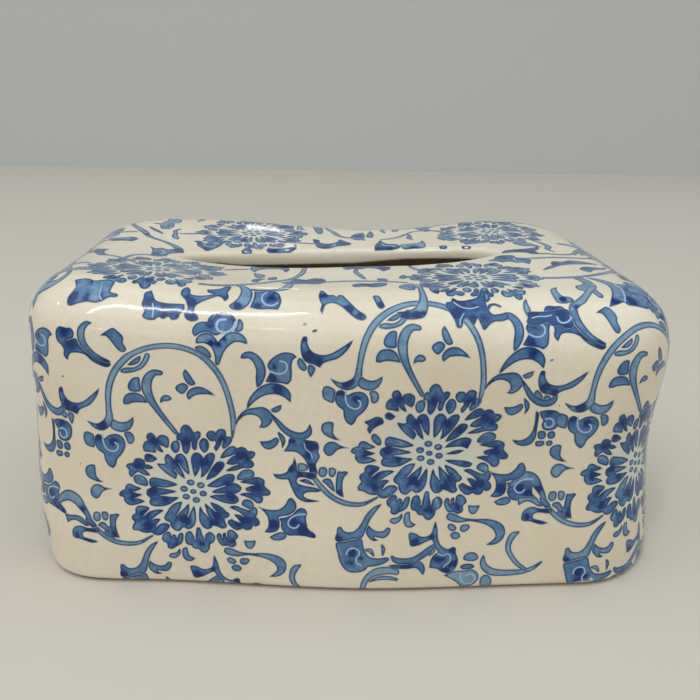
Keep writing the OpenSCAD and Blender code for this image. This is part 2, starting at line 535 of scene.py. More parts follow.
def grown(shapes, by):
    """The same shapes with their outlines moved outwards, less where that would close a slit."""
    out = []
    for line, tone, layer in shapes:
        if layer == 0:
            away = -inwards(line)
            clear = np.ones(len(line), bool)
            step = np.zeros(len(line))
            for share in GROWTH_SHARES:
                clear &= ~inside(line + away * (SLIT_CLEARANCE * by * share), line)
                step += clear * by / len(GROWTH_SHARES)
            line = line + away * step[:, None]
        out.append([line, tone, layer])
    return out


def inwards(line):
    """The direction into a closed outline at each of its points."""
    along = np.roll(line, -1, axis=0) - np.roll(line, 1, axis=0)
    along /= np.maximum(np.linalg.norm(along, axis=1), TINY)[:, None]
    across = np.stack([-along[:, 1], along[:, 0]], 1)
    area = (line[:, 0] * np.roll(line[:, 1], -1) - line[:, 1] * np.roll(line[:, 0], -1)).sum()
    return across * (1 if area > 0 else -1)


def edge_distance(places, line):
    """Distance of each place to a closed outline."""
    side = np.roll(line, -1, axis=0) - line
    away = places[:, None] - line[None]
    share = np.clip((away * side).sum(2) / np.maximum((side * side).sum(1), TINY**2), 0, 1)
    return np.linalg.norm(away - share[..., None] * side, axis=2).min(1)


def inside(places, line):
    """Whether each place lies inside a closed outline."""
    x, y = places[:, 0, None], places[:, 1, None]
    x0, y0 = line[:, 0], line[:, 1]
    x1, y1 = np.roll(x0, -1), np.roll(y0, -1)
    crosses = (y0 > y) != (y1 > y)
    rise = np.where(y1 == y0, TINY, y1 - y0)
    return (crosses & (x < x0 + (y - y0) * (x1 - x0) / rise)).sum(1) % 2 == 1


def filling(line):
    """Places inside an outline that carry its inner line and follow the curve of the wall."""
    across = inwards(line)
    found = []
    for depth, share in RINGS:
        ring = line + across * depth
        keep = (edge_distance(ring, line) > depth * share) & inside(ring, line)
        found.append(ring[keep])
    low, high = line.min(0), line.max(0)
    grid = np.array(
        [
            (x + (row % 2) * GRID_PITCH / 2, y)
            for row, y in enumerate(np.arange(low[1], high[1], GRID_PITCH))
            for x in np.arange(low[0], high[0], GRID_PITCH)
        ]
    ).reshape(-1, 2)
    if len(grid):
        grid = grid[inside(grid, line)]
    if len(grid):
        found.append(grid[edge_distance(grid, line) > GRID_MARGIN])
    return np.concatenate(found)


# How far a print's underside lies in the glaze, in millimetres
UNDERSIDE = 0.05
# What lifts a shape over its neighbours, in turn, and over the layer below, and how far haze lies lower
LAP_STEP, LAPS = 0.007, 6
LAYER_LIFT = 0.05
HAZE_DROP = 0.03
# A cut is worked into a shape whose bounds come this near to it
CUT_MARGIN = 1
# How the sheet's triangles are made: only inside outlines, with places this near taken as one
INSIDE_ONLY, TOUCHING = 1, 1e-5
# A flower's streaks run out from its middle, from this radius on, and change this much with each millimetre
STREAKS_FROM, STREAK_RUN = 1, 0.012


class Print:
    """Shapes of one sheet, gathered into one closed, thin piece on the body."""

    def __init__(self, ray, lift, cuts=(), kept=None):
        self.ray, self.lift, self.cuts, self.kept = ray, lift, cuts, kept
        self.places, self.normals, self.faces = [], [], []
        self.edge, self.tone, self.pool, self.spoke = [], [], [], []
        self.count = 0
        self.centre = None

    def add(self, shapes):
        """Adds a group of shapes, with the pools and the haze that its ink follows."""
        pools = [(*line[0], reach) for line, reach, layer in shapes if layer is None]
        centres = [line.mean(0) for line, _, layer in shapes if layer == -1]
        self.centre = centres[0] if centres else None
        for line, tone, layer in shapes:
            if layer is not None:
                self.add_shape(line, tone, layer, pools)

    def add_shape(self, line, tone, layer, pools):
        flat, faces = self.flat_mesh(line)
        met = [surface.meet(*self.ray(*p)) for p in flat]
        if not faces or None in met:
            return
        self.count += 1
        if layer < 0:
            above = HAZE_DROP * layer
        else:
            above = LAP_STEP * (self.count % LAPS) + LAYER_LIFT * layer
        self.add_slab(faces, met, (self.lift + above) * MM)
        self.add_marks(flat, line, tone, pools)

    def flat_mesh(self, line):
        """An outline and its filling as triangles of the flat sheet, less what a cut leaves out."""
        points = [*line, *filling(line)]
        edges = []
        low, high = line.min(0) - CUT_MARGIN, line.max(0) + CUT_MARGIN
        for cut in self.cuts:
            near = (cut >= low).all(1) & (cut <= high).all(1)
            if near.any():
                first = len(points)
                points += list(cut)
                edges += [(first + i, first + i + 1) for i in range(len(cut) - 1)]
        flat, _, faces, *_ = geometry.delaunay_2d_cdt(
            [Vector(p) for p in points], edges, [list(range(len(line)))], INSIDE_ONLY, TOUCHING
        )
        flat = np.array([tuple(p) for p in flat])
        if self.kept is not None:
            faces = [f for f in faces if self.kept(*flat[list(f)].mean(0))]
        used = sorted({i for f in faces for i in f})
        order = {old: new for new, old in enumerate(used)}
        return flat[used], [[order[i] for i in f] for f in faces]

    def add_slab(self, faces, met, lift):
        """A closed slab from a face lifted off the glaze down to an underside within it."""
        first, count = len(self.places), len(met)
        self.places += [p + n * lift for p, n in met] + [p - n * UNDERSIDE * MM for p, n in met]
        self.normals += [n for _, n in met] * 2
        sides = dict.fromkeys((f[k - 1], f[k]) for f in faces for k in range(3))
        rim = [(i, j) for i, j in sides if (j, i) not in sides]
        top = [tuple(first + i for i in f) for f in faces]
        self.faces += top
        self.faces += [tuple(i + count for i in reversed(f)) for f in top]
        self.faces += [(first + j, first + i, first + i + count, first + j + count) for i, j in rim]

    def add_marks(self, flat, line, tone, pools):
        """What the ink reads at each place, above and below: edge, tone, pool and spoke."""
        count = len(flat)
        self.edge += list(edge_distance(flat, line)) * 2
        self.tone += [tone] * (2 * count)
        pool = np.zeros(count)
        for x, y, reach in pools:
            pool = np.maximum(pool, np.exp(-((flat - (x, y)) ** 2).sum(1) / reach**2))
        self.pool += list(pool) * 2
        spoke = np.zeros((count, 3))
        if self.centre is not None:
            away = flat - self.centre
            reach = np.linalg.norm(away, axis=1)[:, None]
            spoke = np.hstack([away / np.maximum(reach, STREAKS_FROM), reach * STREAK_RUN])
        self.spoke += list(spoke) * 2

    def finish(self, name):
        mesh = bpy.data.meshes.new(name)
        mesh.from_pydata(self.places, [], self.faces)
        for label in ("edge", "tone", "pool"):
            layer = mesh.attributes.new(label, "FLOAT", "POINT")
            layer.data.foreach_set("value", np.array(getattr(self, label), np.float32))
        layer = mesh.attributes.new("spoke", "FLOAT_VECTOR", "POINT")
        layer.data.foreach_set("vector", np.array(self.spoke, np.float32).ravel())
        mesh.materials.append(ink)
        mesh.shade_smooth()
        mesh.normals_split_custom_set_from_vertices(self.normals)
        piece = bpy.data.objects.new(name, mesh)
        bpy.context.scene.collection.objects.link(piece)
        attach(piece, "root")
        return piece


# The first flower, as it lies on the wall's sheet

FLOWER_CENTRE = (-62.1, 42)
INNER_PETALS = [
    patch(0.55, (-68.8, 46.8, 1), (-72, 49), (-74.4, 51.4), (-75.3, 52.7, 1), (-73.2, 52.4),
          (-71.9, 52.9, 1), (-72.3, 55), (-71.3, 56.5), (-70, 55.3), (-68.8, 54.3, 1), (-67.8, 56.3),
          (-66.2, 56.8), (-64.7, 55.2), (-63.9, 52), (-63.6, 48.7, 1), (-65.2, 50.3), (-67.3, 53, 1),
          (-66.3, 50), (-65.3, 47, 1), (-67, 48.5), (-69.3, 50.8, 1), (-68.2, 48.8)),
    patch(0.55, (-61.4, 48, 1), (-62.1, 52), (-62.3, 55.5), (-61, 57.4), (-59.4, 57.1), (-57.8, 55.2, 1),
          (-56.4, 56.9), (-54.6, 57.6), (-53.8, 56.8), (-54.2, 54.7), (-55.5, 51.9), (-57, 49.6),
          (-59, 47.6, 1), (-58.6, 50), (-59.2, 52.2, 1), (-60.2, 50)),
    patch(0.8, (-57, 46.8, 1), (-55.8, 49.6), (-54, 52.5), (-52.3, 54.1), (-50.6, 54), (-50.2, 52.9),
          (-51.4, 50.9), (-53.8, 48.4)),
    patch(0.5, (-55.8, 37.4, 1), (-53.5, 36.6), (-51.4, 35.3), (-50, 33.8), (-48.8, 32.8), (-49.6, 31.6),
          (-50.8, 31.2, 1), (-50.7, 29.5), (-50, 27.8), (-51.3, 26.9), (-53.5, 27.7), (-55.2, 28.1, 1),
          (-56, 27), (-57.5, 26.4), (-59.2, 27.6), (-60.1, 30), (-60.1, 33), (-59.8, 35.6, 1),
          (-58.9, 33.3), (-56.5, 31, 1), (-57.2, 33.8), (-57.9, 36.9, 1), (-56.2, 35.2), (-53.9, 33.8, 1),
          (-54.8, 35.6)),
    patch(0.4, (-66.8, 37.2, 1), (-69, 36.6), (-71, 35), (-72.4, 32.8), (-73.6, 30.5), (-72.9, 29.3),
          (-71.5, 28.8, 1), (-71.2, 27), (-70, 25.5), (-68.4, 25.1), (-67.4, 26.2), (-66.4, 27, 1),
          (-65, 26.1), (-63.3, 26.8), (-62.1, 28.8), (-61.8, 32), (-62.2, 35.6, 1), (-63.4, 33),
          (-65, 30.6, 1), (-64.4, 33.6), (-64.2, 36.4, 1), (-66.3, 34), (-69.2, 31.3, 1), (-67.8, 34.4)),
    patch(0.5, (-68.3, 44.3, 1), (-71, 45.5), (-74.5, 46.4), (-77.5, 46.8), (-78.5, 45.8), (-78.4, 44),
          (-77.9, 42.9), (-79.4, 42), (-79.8, 40.2), (-78.3, 38.6, 1), (-78.9, 37), (-78.4, 35.8),
          (-75.5, 35.4), (-72, 36.2), (-70, 37.6), (-68, 39, 1), (-71, 39), (-75.3, 39.7, 1), (-72, 40.7),
          (-68.8, 41.5, 1), (-72, 42.1), (-76.3, 43.2, 1), (-72, 43.4)),
]
RIGHT_PETAL = [
    patch(0.6, (-56.8, 44.2, 1), (-54.5, 46), (-51.5, 47.9), (-49, 49.1), (-47, 49.1), (-46.5, 47.9),
          (-47.4, 45.8, 1), (-45.8, 45.4), (-44.1, 44), (-45, 42.4), (-47, 41.4, 1), (-45.5, 39.9),
          (-45.2, 38.6), (-46.8, 37.5), (-50, 37.7), (-53, 38.7), (-56, 39.9, 1), (-53, 40.6),
          (-49.8, 41.2, 1), (-53, 41.4), (-55, 41.8, 1), (-52.5, 43.2), (-49.8, 44.6, 1), (-53, 44)),
]
OUTER_PETALS = [
    patch(0.5, (-69.8, 60), (-69, 61.6), (-67.3, 62), (-66.8, 60.5), (-67.2, 58.3), (-68.3, 57.4),
          (-69.4, 58.4)),
    patch(0.55, (-67.4, 62.5, 1), (-67.3, 64.5), (-66.5, 65.4), (-65.7, 65.1, 1), (-65.8, 66.8),
          (-64.9, 68.2), (-63.9, 68.6), (-62.7, 68), (-61.8, 66.5), (-61, 65.4, 1), (-59.5, 66.2),
          (-58.8, 65.8), (-59, 64), (-59.8, 63), (-60.3, 61), (-60.6, 59), (-61.3, 58.7, 1), (-61.9, 60),
          (-62.2, 62, 1), (-62.7, 60.5), (-63.5, 58), (-64.3, 57, 1), (-65.2, 58), (-65.6, 60.5),
          (-66.2, 62.5, 1)),
    patch(0.4, (-58.6, 62.6), (-57.8, 63.4), (-56.5, 63), (-55.8, 61), (-56.5, 58.7), (-57.6, 57.8, 1),
          (-58.8, 59.5), (-59.1, 61.3)),
    patch(0.5, (-56.3, 65), (-55.3, 66.4), (-53.6, 66.3), (-52.8, 65.6, 1), (-52, 67), (-50.5, 67.4),
          (-49.4, 66.7), (-49.3, 64.9), (-48.6, 64.3, 1), (-47.2, 64.3), (-47.2, 63), (-48.5, 61),
          (-50.3, 59.6, 1), (-50.6, 61), (-50.6, 62.5, 1), (-51.5, 61), (-53, 58.6, 1), (-53.6, 59.8),
          (-52.8, 61.6), (-53.3, 63, 1), (-54.6, 62.6), (-55.8, 63.6)),
    patch(0.6, (-51.5, 55.7, 1), (-50.2, 58), (-48.3, 60), (-46.6, 60.6), (-45.2, 59.7, 1), (-43.6, 60.4),
          (-42.2, 60), (-41.3, 58.8, 1), (-39.3, 58.8), (-38.6, 58.3), (-39.3, 56.7), (-40.6, 55.6, 1),
          (-39.4, 54.5), (-39.3, 53.1), (-40.8, 52.3), (-43, 52.3), (-46, 51.2), (-49.6, 50.6, 1),
          (-47.4, 52), (-44.8, 53.6, 1), (-47.5, 53.4), (-49.2, 53.6, 1), (-48.3, 55), (-45.6, 57.7, 1),
          (-48.3, 56.8)),
    patch(0.35, (-45.3, 47.5), (-44.8, 49.3), (-43, 51), (-41, 51.4), (-39.3, 50.6), (-39.2, 49.3),
          (-40.6, 48), (-43, 47.5)),
    patch(0.55, (-44.2, 46.3, 1), (-42, 47.3), (-39.5, 48.2), (-37.2, 48.3), (-35.4, 47.3),
          (-35.5, 45.3, 1), (-34.5, 44), (-33.2, 42.9), (-33.5, 41.6), (-35.2, 41.4), (-36.3, 41.2, 1),
          (-36, 39.7), (-36.6, 38.4), (-38, 38.2), (-39.5, 39.4), (-42, 40.6), (-44.6, 41.3, 1),
          (-41.5, 42), (-40, 42.4, 1), (-41.6, 42.9), (-42.3, 43.7, 1), (-40.7, 44.5), (-38.7, 45.4, 1),
          (-41.3, 46)),
    patch(0.35, (-43.8, 37.3), (-43, 38.8), (-41.5, 39.2), (-39.8, 38), (-39.7, 36), (-40.8, 35.6),
          (-42.2, 36.2)),
    patch(0.6, (-48.5, 35.9, 1), (-46.3, 36.3), (-43.8, 35.4), (-41, 34.7), (-39.3, 36.2), (-38.3, 35.3),
          (-38.4, 33.4), (-38.9, 32.2, 1), (-37.6, 30.8), (-37.5, 29.3), (-38.8, 28.5), (-40, 28.9, 1),
          (-40.6, 27.3), (-42.2, 26.8), (-43.8, 27.5, 1), (-45.8, 26.5), (-48, 27.7), (-49.3, 29.8),
          (-48, 30.7, 1), (-45.8, 29.6), (-44.2, 29.4, 1), (-45.2, 31), (-46.7, 32.8, 1), (-45, 32.6),
          (-42.9, 31.9, 1), (-44, 33.5), (-46, 34.8)),
    patch(0.5, (-53.7, 23.4), (-53, 24.6), (-52.2, 23.8), (-51.8, 22.4, 1), (-51.3, 24.3), (-50.6, 24.9),
          (-50, 22.9, 1), (-49.5, 25.4), (-48.5, 26.2), (-46.8, 25.3), (-45.8, 23.6), (-46.9, 22),
          (-46.7, 20), (-48.2, 18.9), (-50, 19.6), (-51.8, 19.4), (-53.2, 21.2)),
    patch(0.4, (-66, 21.8), (-65.4, 24.2), (-64, 24.8), (-63.2, 23.4), (-62.2, 20.7, 1), (-61.7, 23.8),
          (-61.2, 26.6), (-60.4, 26.6), (-59.8, 24), (-58.5, 21.2, 1), (-58, 23.6), (-56.4, 24.8),
          (-54.8, 23.2), (-55.2, 21), (-56.8, 19.6), (-57, 17.8), (-58.5, 15.8), (-60, 16.2), (-61, 17.4),
          (-62.8, 17.6), (-63.8, 18.9), (-65.5, 19.4)),
    patch(0.4, (-75, 21.6), (-74.2, 23.2), (-72.6, 24.4), (-71.8, 23.5), (-71.5, 22, 1), (-70.6, 23.2),
          (-69.8, 22.6), (-69.3, 21.4, 1), (-68.2, 23.6), (-67.2, 24), (-67, 22.4), (-67.6, 20),
          (-68.8, 18.8), (-70, 18.1), (-71.6, 17), (-72.9, 17.5), (-73.1, 19.4), (-74.4, 20.2)),
    patch(0.5, (-79.5, 34.4), (-81, 35), (-83.3, 35.1), (-84.4, 34), (-84.4, 32.2), (-85.7, 31.2),
          (-85.9, 29.8), (-85, 28.6), (-85.9, 26.6), (-85.9, 25.3), (-84, 25.1), (-82.4, 24.3), (-80.5, 24),
          (-78.8, 24.2), (-77.9, 23.3), (-76, 23.1), (-73.8, 24.5), (-72, 27), (-73, 27.9), (-75, 27.7),
          (-77.3, 26, 1), (-77, 27.7), (-75.4, 29.8, 1), (-77, 29.8), (-78.7, 29.5, 1), (-77, 31.4),
          (-74, 33.6, 1), (-76, 33.6), (-79, 32.8), (-81.8, 30.8, 1), (-80.6, 32.8)),
    patch(0.4, (-86.3, 44.2), (-87.5, 43.5), (-87.9, 42), (-89.4, 41.3), (-90.2, 39.8), (-88.4, 39),
          (-88.4, 37.6), (-87, 36), (-84.8, 35.9), (-81, 37.2, 1), (-83, 38), (-84.8, 38.6, 1),
          (-83.4, 39.3), (-81.8, 40, 1), (-84, 40.4), (-85.4, 41.2, 1), (-83.6, 41.8), (-82, 42.5, 1),
          (-84, 43.2)),
    patch(0.5, (-78.3, 64.4), (-77, 65), (-75.8, 63.8), (-75.2, 62.5, 1), (-74.2, 63.7), (-72.6, 64.2),
          (-71, 63.3), (-70.7, 61.9), (-71.2, 59.4), (-72.6, 60), (-74.4, 60.7, 1), (-73.8, 59),
          (-72.9, 57.4, 1), (-74.6, 58.2), (-76, 59.4, 1), (-75.7, 57.3, 1), (-78, 57.7), (-79.8, 57.9),
          (-80.1, 59.7), (-79.3, 61.4), (-78.1, 61.9, 1), (-78.6, 63.2)),
]
UPPER_LEFT_PETALS = [
    patch(0.5, (-83.4, 54.4), (-81.4, 54.5), (-80.2, 53.6), (-80.1, 52.2, 1), (-78.7, 52), (-77, 51, 1),
          (-78.9, 50.6), (-80.8, 50.8, 1), (-79.6, 49.4), (-78.4, 48, 1), (-80.5, 48.3), (-82.8, 49.6, 1),
          (-84.3, 48.4), (-85.2, 47.3), (-86, 48.6), (-85.8, 50.1), (-86.8, 51.5), (-86.2, 52.4),
          (-84.2, 52.8)),
    patch(0.4, (-79.6, 43.8), (-79.7, 45.9), (-81, 47.3), (-83, 47.9), (-84.3, 47), (-83.8, 45),
          (-82, 44.2)),
    patch(0.7, (-79.8, 55), (-79.4, 56.3), (-77.7, 56.3), (-75.4, 54.6, 1), (-77.5, 53.6), (-79.5, 53.8)),
]
SEED_HALF = 0.3
SEEDS = [
    brush(0.35, (x - SEED_HALF, y, size), (x + SEED_HALF, y, size))
    for x, y, size in (
        (-63.1, 45.4, 2.6), (-59.3, 44.4, 2.6), (-58.5, 41, 2.5), (-61.2, 38.3, 2.5), (-65, 39.5, 2.5),
        (-65.7, 42.7, 2.6), (-62.2, 41.7, 2.1),
    )
]
FLOWER_POOLS = [
    dark(x, y, reach)
    for x, y, reach in (
        (-68, 53.5, 2), (-57.8, 54, 2), (-52.8, 52, 2.2), (-49.5, 46, 2), (-48, 40, 2), (-53.5, 32, 2),
        (-55, 29, 2), (-66, 30, 2.2), (-77.5, 41.5, 1.8), (-73, 38, 1.5), (-76, 62, 1.6), (-73, 62, 1),
        (-64, 62, 2), (-51, 63, 1.6), (-44, 57, 2), (-41.5, 56, 1.5), (-38.5, 44.5, 2), (-42, 31, 2),
        (-45, 29.5, 1.5), (-48.5, 21.5, 1.5), (-59, 19.5, 1.6), (-70.5, 20, 1.5), (-81, 32, 2), (-80, 27, 2),
        (-84.5, 39.8, 1.6), (-82, 52, 1.8), (-78.5, 55.5, 1.2),
    )
]
HAZE_RADIUS = 24
HAZE = [haze(*FLOWER_CENTRE, HAZE_RADIUS)]
# In one flower these broken pieces stand in for the right petal and the upper left petals
BROKEN = [
    patch(0.7, (32, 61.5, 1), (34, 63.5), (37, 65), (40, 65.5), (42, 64.5), (41.5, 62.5), (40.7, 60.8, 1),
          (38.5, 61.8), (35.5, 61.8)),
    patch(0.7, (32.7, 58.8, 1), (35, 59.8), (37.5, 60.3), (39.5, 60.2, 1), (37.5, 59), (35, 58.7)),
    patch(0.5, (32.5, 56.3, 1), (35, 56.3), (38, 56), (41, 55.5), (43, 54.5), (42, 53.3), (39.5, 53.3),
          (36.5, 54.3), (34, 55.3)),
    patch(0.9, (9.3, 75.5), (10.5, 76.3), (13, 74.7, 1), (11.5, 73.3), (9.5, 74)),
    patch(0.8, (1.8, 72.3), (4, 73.3), (6, 74.4), (8, 74), (8.7, 72), (7, 71), (5, 69.5), (3.8, 67.5, 1),
          (2.9, 69.5), (3.4, 71)),
    patch(0.5, (4.5, 66.5), (5.5, 67.6), (7.4, 66), (8.2, 64), (7.5, 62.8), (5.6, 64), (4.8, 65)),
]

# The vine round the flower, drawn in its place by the first flower or by the second

# Leaves, buds and a short stem over the second flower
OVER_FLOWER = [
    patch(0.3, (0.2, 90.4, 1), (1.5, 89.3), (3.5, 88.7), (5.5, 89), (7.7, 90.5, 1), (7.3, 88.2), (5.8, 86),
          (3.5, 85), (1, 85.5), (-1, 87), (-0.9, 88.8)),
    patch(0.3, (-12.4, 86.3), (-11, 86), (-9.2, 84.8), (-9.3, 82.5), (-9.7, 80), (-11, 80.2), (-13, 81.3),
          (-13.7, 83.5), (-13.3, 85.5)),
    patch(0.3, (3.4, 84.4), (5.3, 84.7), (6.5, 83.3), (6.5, 81.3), (5.3, 80), (4.2, 80.3), (3.8, 82.3)),
    patch(0.5, (-8.3, 84.4), (-6.8, 84.9), (-5.6, 84), (-4.6, 82.8, 1), (-3, 83.8), (-1, 84.3), (1, 84),
          (2.5, 82.5), (3, 80.5), (2.4, 78.2), (0.8, 76), (-1, 74.3), (-1.8, 72.3), (-3, 70.9, 1),
          (-4.8, 72.3), (-5.8, 74.8), (-6, 77), (-7.8, 78.5), (-8.9, 80.5), (-9, 82.8)),
    reserve(0.6, (-5.2, 84.6), (-5.3, 81.5), (-4.6, 79.3), (-3, 77.9), (-1, 77.7), (0.1, 78.8), (0.1, 80.3),
            (-0.7, 81)),
    dark(-7, 83.5, 1.5), dark(-1.2, 81.5, 1.6), dark(-4.5, 88.5, 2.5),
    brush(0.3, (20.6, 107, 1.6), (18.2, 107.2, 2.4), (16, 105.6, 3.2), (14.6, 102.2, 3.6), (15, 98, 3),
          (16.8, 93.4, 2.2), (19.2, 88.8, 1.8), (22.4, 83.2, 1.5)),
    patch(0.45, (12.4, 105.7), (10.5, 105.8), (8.7, 104.3), (7.9, 102.3), (8.6, 100.9), (12.2, 100.7),
          (12.3, 103)),
    patch(0.45, (5.2, 96, 1), (5.5, 98), (7, 99.7), (10, 100), (12.3, 98.8), (14, 95.7, 1), (11.5, 96.2),
          (8.5, 96.3), (6.5, 95.8)),
    patch(0.3, (18.6, 95.3, 1), (19, 97), (20.5, 98.2), (22.3, 97.8), (22.9, 96.6), (21.5, 96), (20, 96.1)),
    patch(0.4, (29.7, 107.8, 1), (28.8, 106.5), (28.8, 104.5), (29.8, 102.3), (31, 101.5), (32.5, 102),
          (31.7, 104), (30.8, 106)),
    patch(0.4, (25, 100.8), (26.3, 102), (28.2, 102.5), (29.7, 101.3), (29, 99.8), (27.2, 98.4),
          (25.8, 99.3)),
    patch(0.45, (29.3, 96, 1), (28.7, 97.5), (29.8, 99.5), (32, 100.6), (34.5, 100.5), (37, 99),
          (39, 97.1, 1), (36.3, 97.8), (33.5, 97.9), (31.3, 97.5)),
]

# The arch with its double leaf, drawn over the first flower
ARCH = [
    brush(0.1, (-101.6, 69.6, 0), (-98, 67.6, 2), (-94.8, 67.8, 3.4), (-92.2, 70.4, 3), (-91.9, 75, 2),
          (-91.6, 80, 2.1), (-90.5, 85, 2.3), (-88.2, 89.8, 2.4), (-84.6, 94, 2.4), (-80.4, 97.2, 2.4),
          (-76, 99.4, 2.4), (-71, 100.4, 2.4), (-66, 100.2, 2.4), (-61.4, 98.8, 2.3), (-57.2, 96.4, 2.2),
          (-53.6, 93, 2.2), (-50.6, 88.6, 2.1), (-48.5, 83.4, 2), (-47.1, 77.6, 2), (-46.3, 72, 2),
          (-46.8, 64.4, 0.7)),
    dark(-95.5, 68.5, 2.2),
    patch(0.15, (-86.2, 90, 1), (-84.3, 90.8), (-82, 90.8), (-80.3, 91.4), (-78.8, 92.8), (-77.6, 94.8),
          (-76.9, 96.5), (-76, 96.7), (-75.5, 95.9), (-75.8, 94.4), (-77, 92.4), (-78.3, 90.9),
          (-80.2, 89.8), (-82.5, 89.1), (-84.7, 88.8), (-86.3, 89.2)),
    patch(0.3, (-83.7, 91.8, 1), (-82, 93.4), (-80.3, 94.6), (-78.8, 95.4), (-79.1, 93.8), (-80.1, 92.6),
          (-81.7, 91.9)),
]
# The cloud on its tulip at the right of the arch, drawn by the first flower
CLOUD = [
    patch(0.5, (-59, 104.6, 1), (-59.8, 106), (-59.7, 107.8), (-58.6, 109.5), (-57, 110.3),
          (-54.6, 110.3, 1), (-54, 112), (-52.5, 113.4), (-50.5, 113.8), (-47.5, 113.6), (-45.6, 112.4),
          (-44.6, 110.8), (-44.8, 109), (-45.5, 107.8), (-46.6, 106.9), (-48.3, 106.2), (-49.6, 105.8),
          (-51.2, 105, 1), (-52.5, 105.2), (-54, 106.2), (-56, 106.4), (-57.5, 105.7)),
    reserve(0.9, (-48.2, 111.1), (-50.3, 110.9), (-51.3, 109.2), (-51, 107.4), (-49.8, 106.3), (-48.2, 106),
            (-46.4, 106.8), (-45.1, 108.2), (-44.5, 110)),
    dark(-53.3, 109.8, 1.8), dark(-46.3, 110.6, 1.5), dark(-50.5, 112.6, 1.2),
    patch(0.3, (-43.6, 111.1), (-42.7, 110.8), (-42, 109.5), (-41.9, 108), (-42.5, 106.6), (-43.8, 106.3),
          (-45, 106.7, 1), (-44, 108.3), (-43.8, 109.8)),
    patch(0.3, (-58.6, 101.7, 1), (-58.6, 103.2), (-57.6, 104.8), (-56, 105.8), (-54.3, 105.8),
          (-52.9, 105), (-51.8, 103.7), (-50.8, 102.1, 1), (-49.8, 103.3), (-48.5, 104.7), (-47.3, 105.6),
          (-45.5, 106.1), (-43.5, 105.8), (-41.8, 104.7), (-40.7, 103), (-40.4, 101.5, 1), (-42.5, 102.2),
          (-44.5, 102.4), (-46, 101.6), (-47.5, 100.2), (-48.8, 98.2), (-49.8, 95.6), (-50.6, 93.4),
          (-51.4, 92.8), (-52, 93.8), (-51.9, 95.5), (-52.3, 98), (-53.1, 100), (-54.4, 101.2),
          (-56, 101.9)),
    dark(-51.2, 101.3, 1.5), dark(-49, 104, 1.2), dark(-53.5, 101.8, 1.3),
    patch(0.3, (-59.1, 99.9, 1), (-58, 100.5), (-56.7, 100.5), (-55.3, 99.7), (-54.2, 98.3), (-53.5, 96.7),
          (-53.6, 95.5), (-54.3, 95.5), (-56, 96.9), (-57.8, 98.2)),
]
# The trumpet bud and its leaves at the left of the vine's arch, drawn by the first flower
TRUMPET = [
    patch(0.6, (-111.8, 105.5), (-110.5, 107), (-107.5, 107), (-105.5, 107.2), (-104.2, 105.8),
          (-104.5, 103.5), (-106, 102.3), (-107.3, 101.8, 1), (-105, 102.7), (-103.2, 103.1), (-102.3, 101),
          (-101.3, 99.2), (-99.3, 96.7), (-96, 94.3), (-92.7, 93.2), (-89.6, 92.2), (-90.8, 91),
          (-94, 91.8), (-97, 93.3), (-100, 95.7), (-103.5, 96.5), (-106.3, 95.8), (-107.6, 93.2, 1),
          (-109, 95), (-108.7, 97.3), (-109.5, 99.3), (-111.3, 101), (-112, 103.5)),
    dark(-108, 105, 2.4), dark(-105.5, 100.5, 2.4), dark(-92, 92, 2.2),
    brush(0.4, (-96.3, 110.4, 0), (-98.8, 109.9, 2), (-100.9, 107, 3), (-100.6, 102.4, 3),
          (-98.6, 98.6, 2.6), (-95.3, 95.3, 1.9), (-90.3, 92.9, 1)),
    patch(0.45, (-92.5, 105.2, 1), (-90.5, 106.8), (-88.3, 108.3), (-87, 107.5), (-84.7, 104.5),
          (-84.8, 101.5), (-83.8, 99), (-84.3, 97.5), (-85.5, 97.3), (-87, 99), (-88.5, 102), (-90.5, 105)),
]
# Two leaves at the left of the first flower
DROPS = [
    patch(0.35, (-103.9, 49), (-103.5, 51), (-101.5, 52), (-99.9, 51.8), (-99.7, 50), (-99.5, 47.5),
          (-98, 45.8), (-96.6, 45.1, 1), (-98.5, 45.2), (-101, 46), (-103, 47.2)),
    patch(0.35, (-93, 42.3, 1), (-96, 42.8), (-98.5, 44), (-100.5, 43.8), (-101.8, 42.5), (-102.2, 40.5),
          (-101.3, 38.9), (-100, 38.3), (-98.7, 39), (-97.3, 41), (-95.5, 42)),
]
# The horned bud at the left of the arch and its two small leaves, drawn by the second flower
LEFT_BUDS = [
    patch(0.45, (-21.2, 102.3), (-20.5, 104), (-19.3, 104), (-19.1, 101.6), (-17.6, 99.1), (-14.8, 97.9),
          (-11.5, 98.1), (-7.3, 100.2), (-3, 102.9, 1), (-4.8, 100), (-8.3, 97), (-12, 95.8), (-13.8, 94.8),
          (-14.6, 93.4, 1), (-17, 94.6), (-18.8, 95), (-20.4, 96.2), (-21.2, 98.5), (-21.4, 100.5)),
    dark(-18.5, 97.3, 2.2), dark(-15.3, 95.6, 1.8), dark(-20, 103.3, 1),
    patch(0.3, (-22.6, 95.5), (-21.8, 96.6), (-20.4, 95.4), (-19.3, 93), (-20.3, 91.9), (-22, 93.2)),
    patch(0.3, (-18.7, 94), (-17.7, 94.2), (-16.4, 93.2), (-16.9, 91.2), (-17.9, 89.5, 1), (-18.8, 91.8)),
]
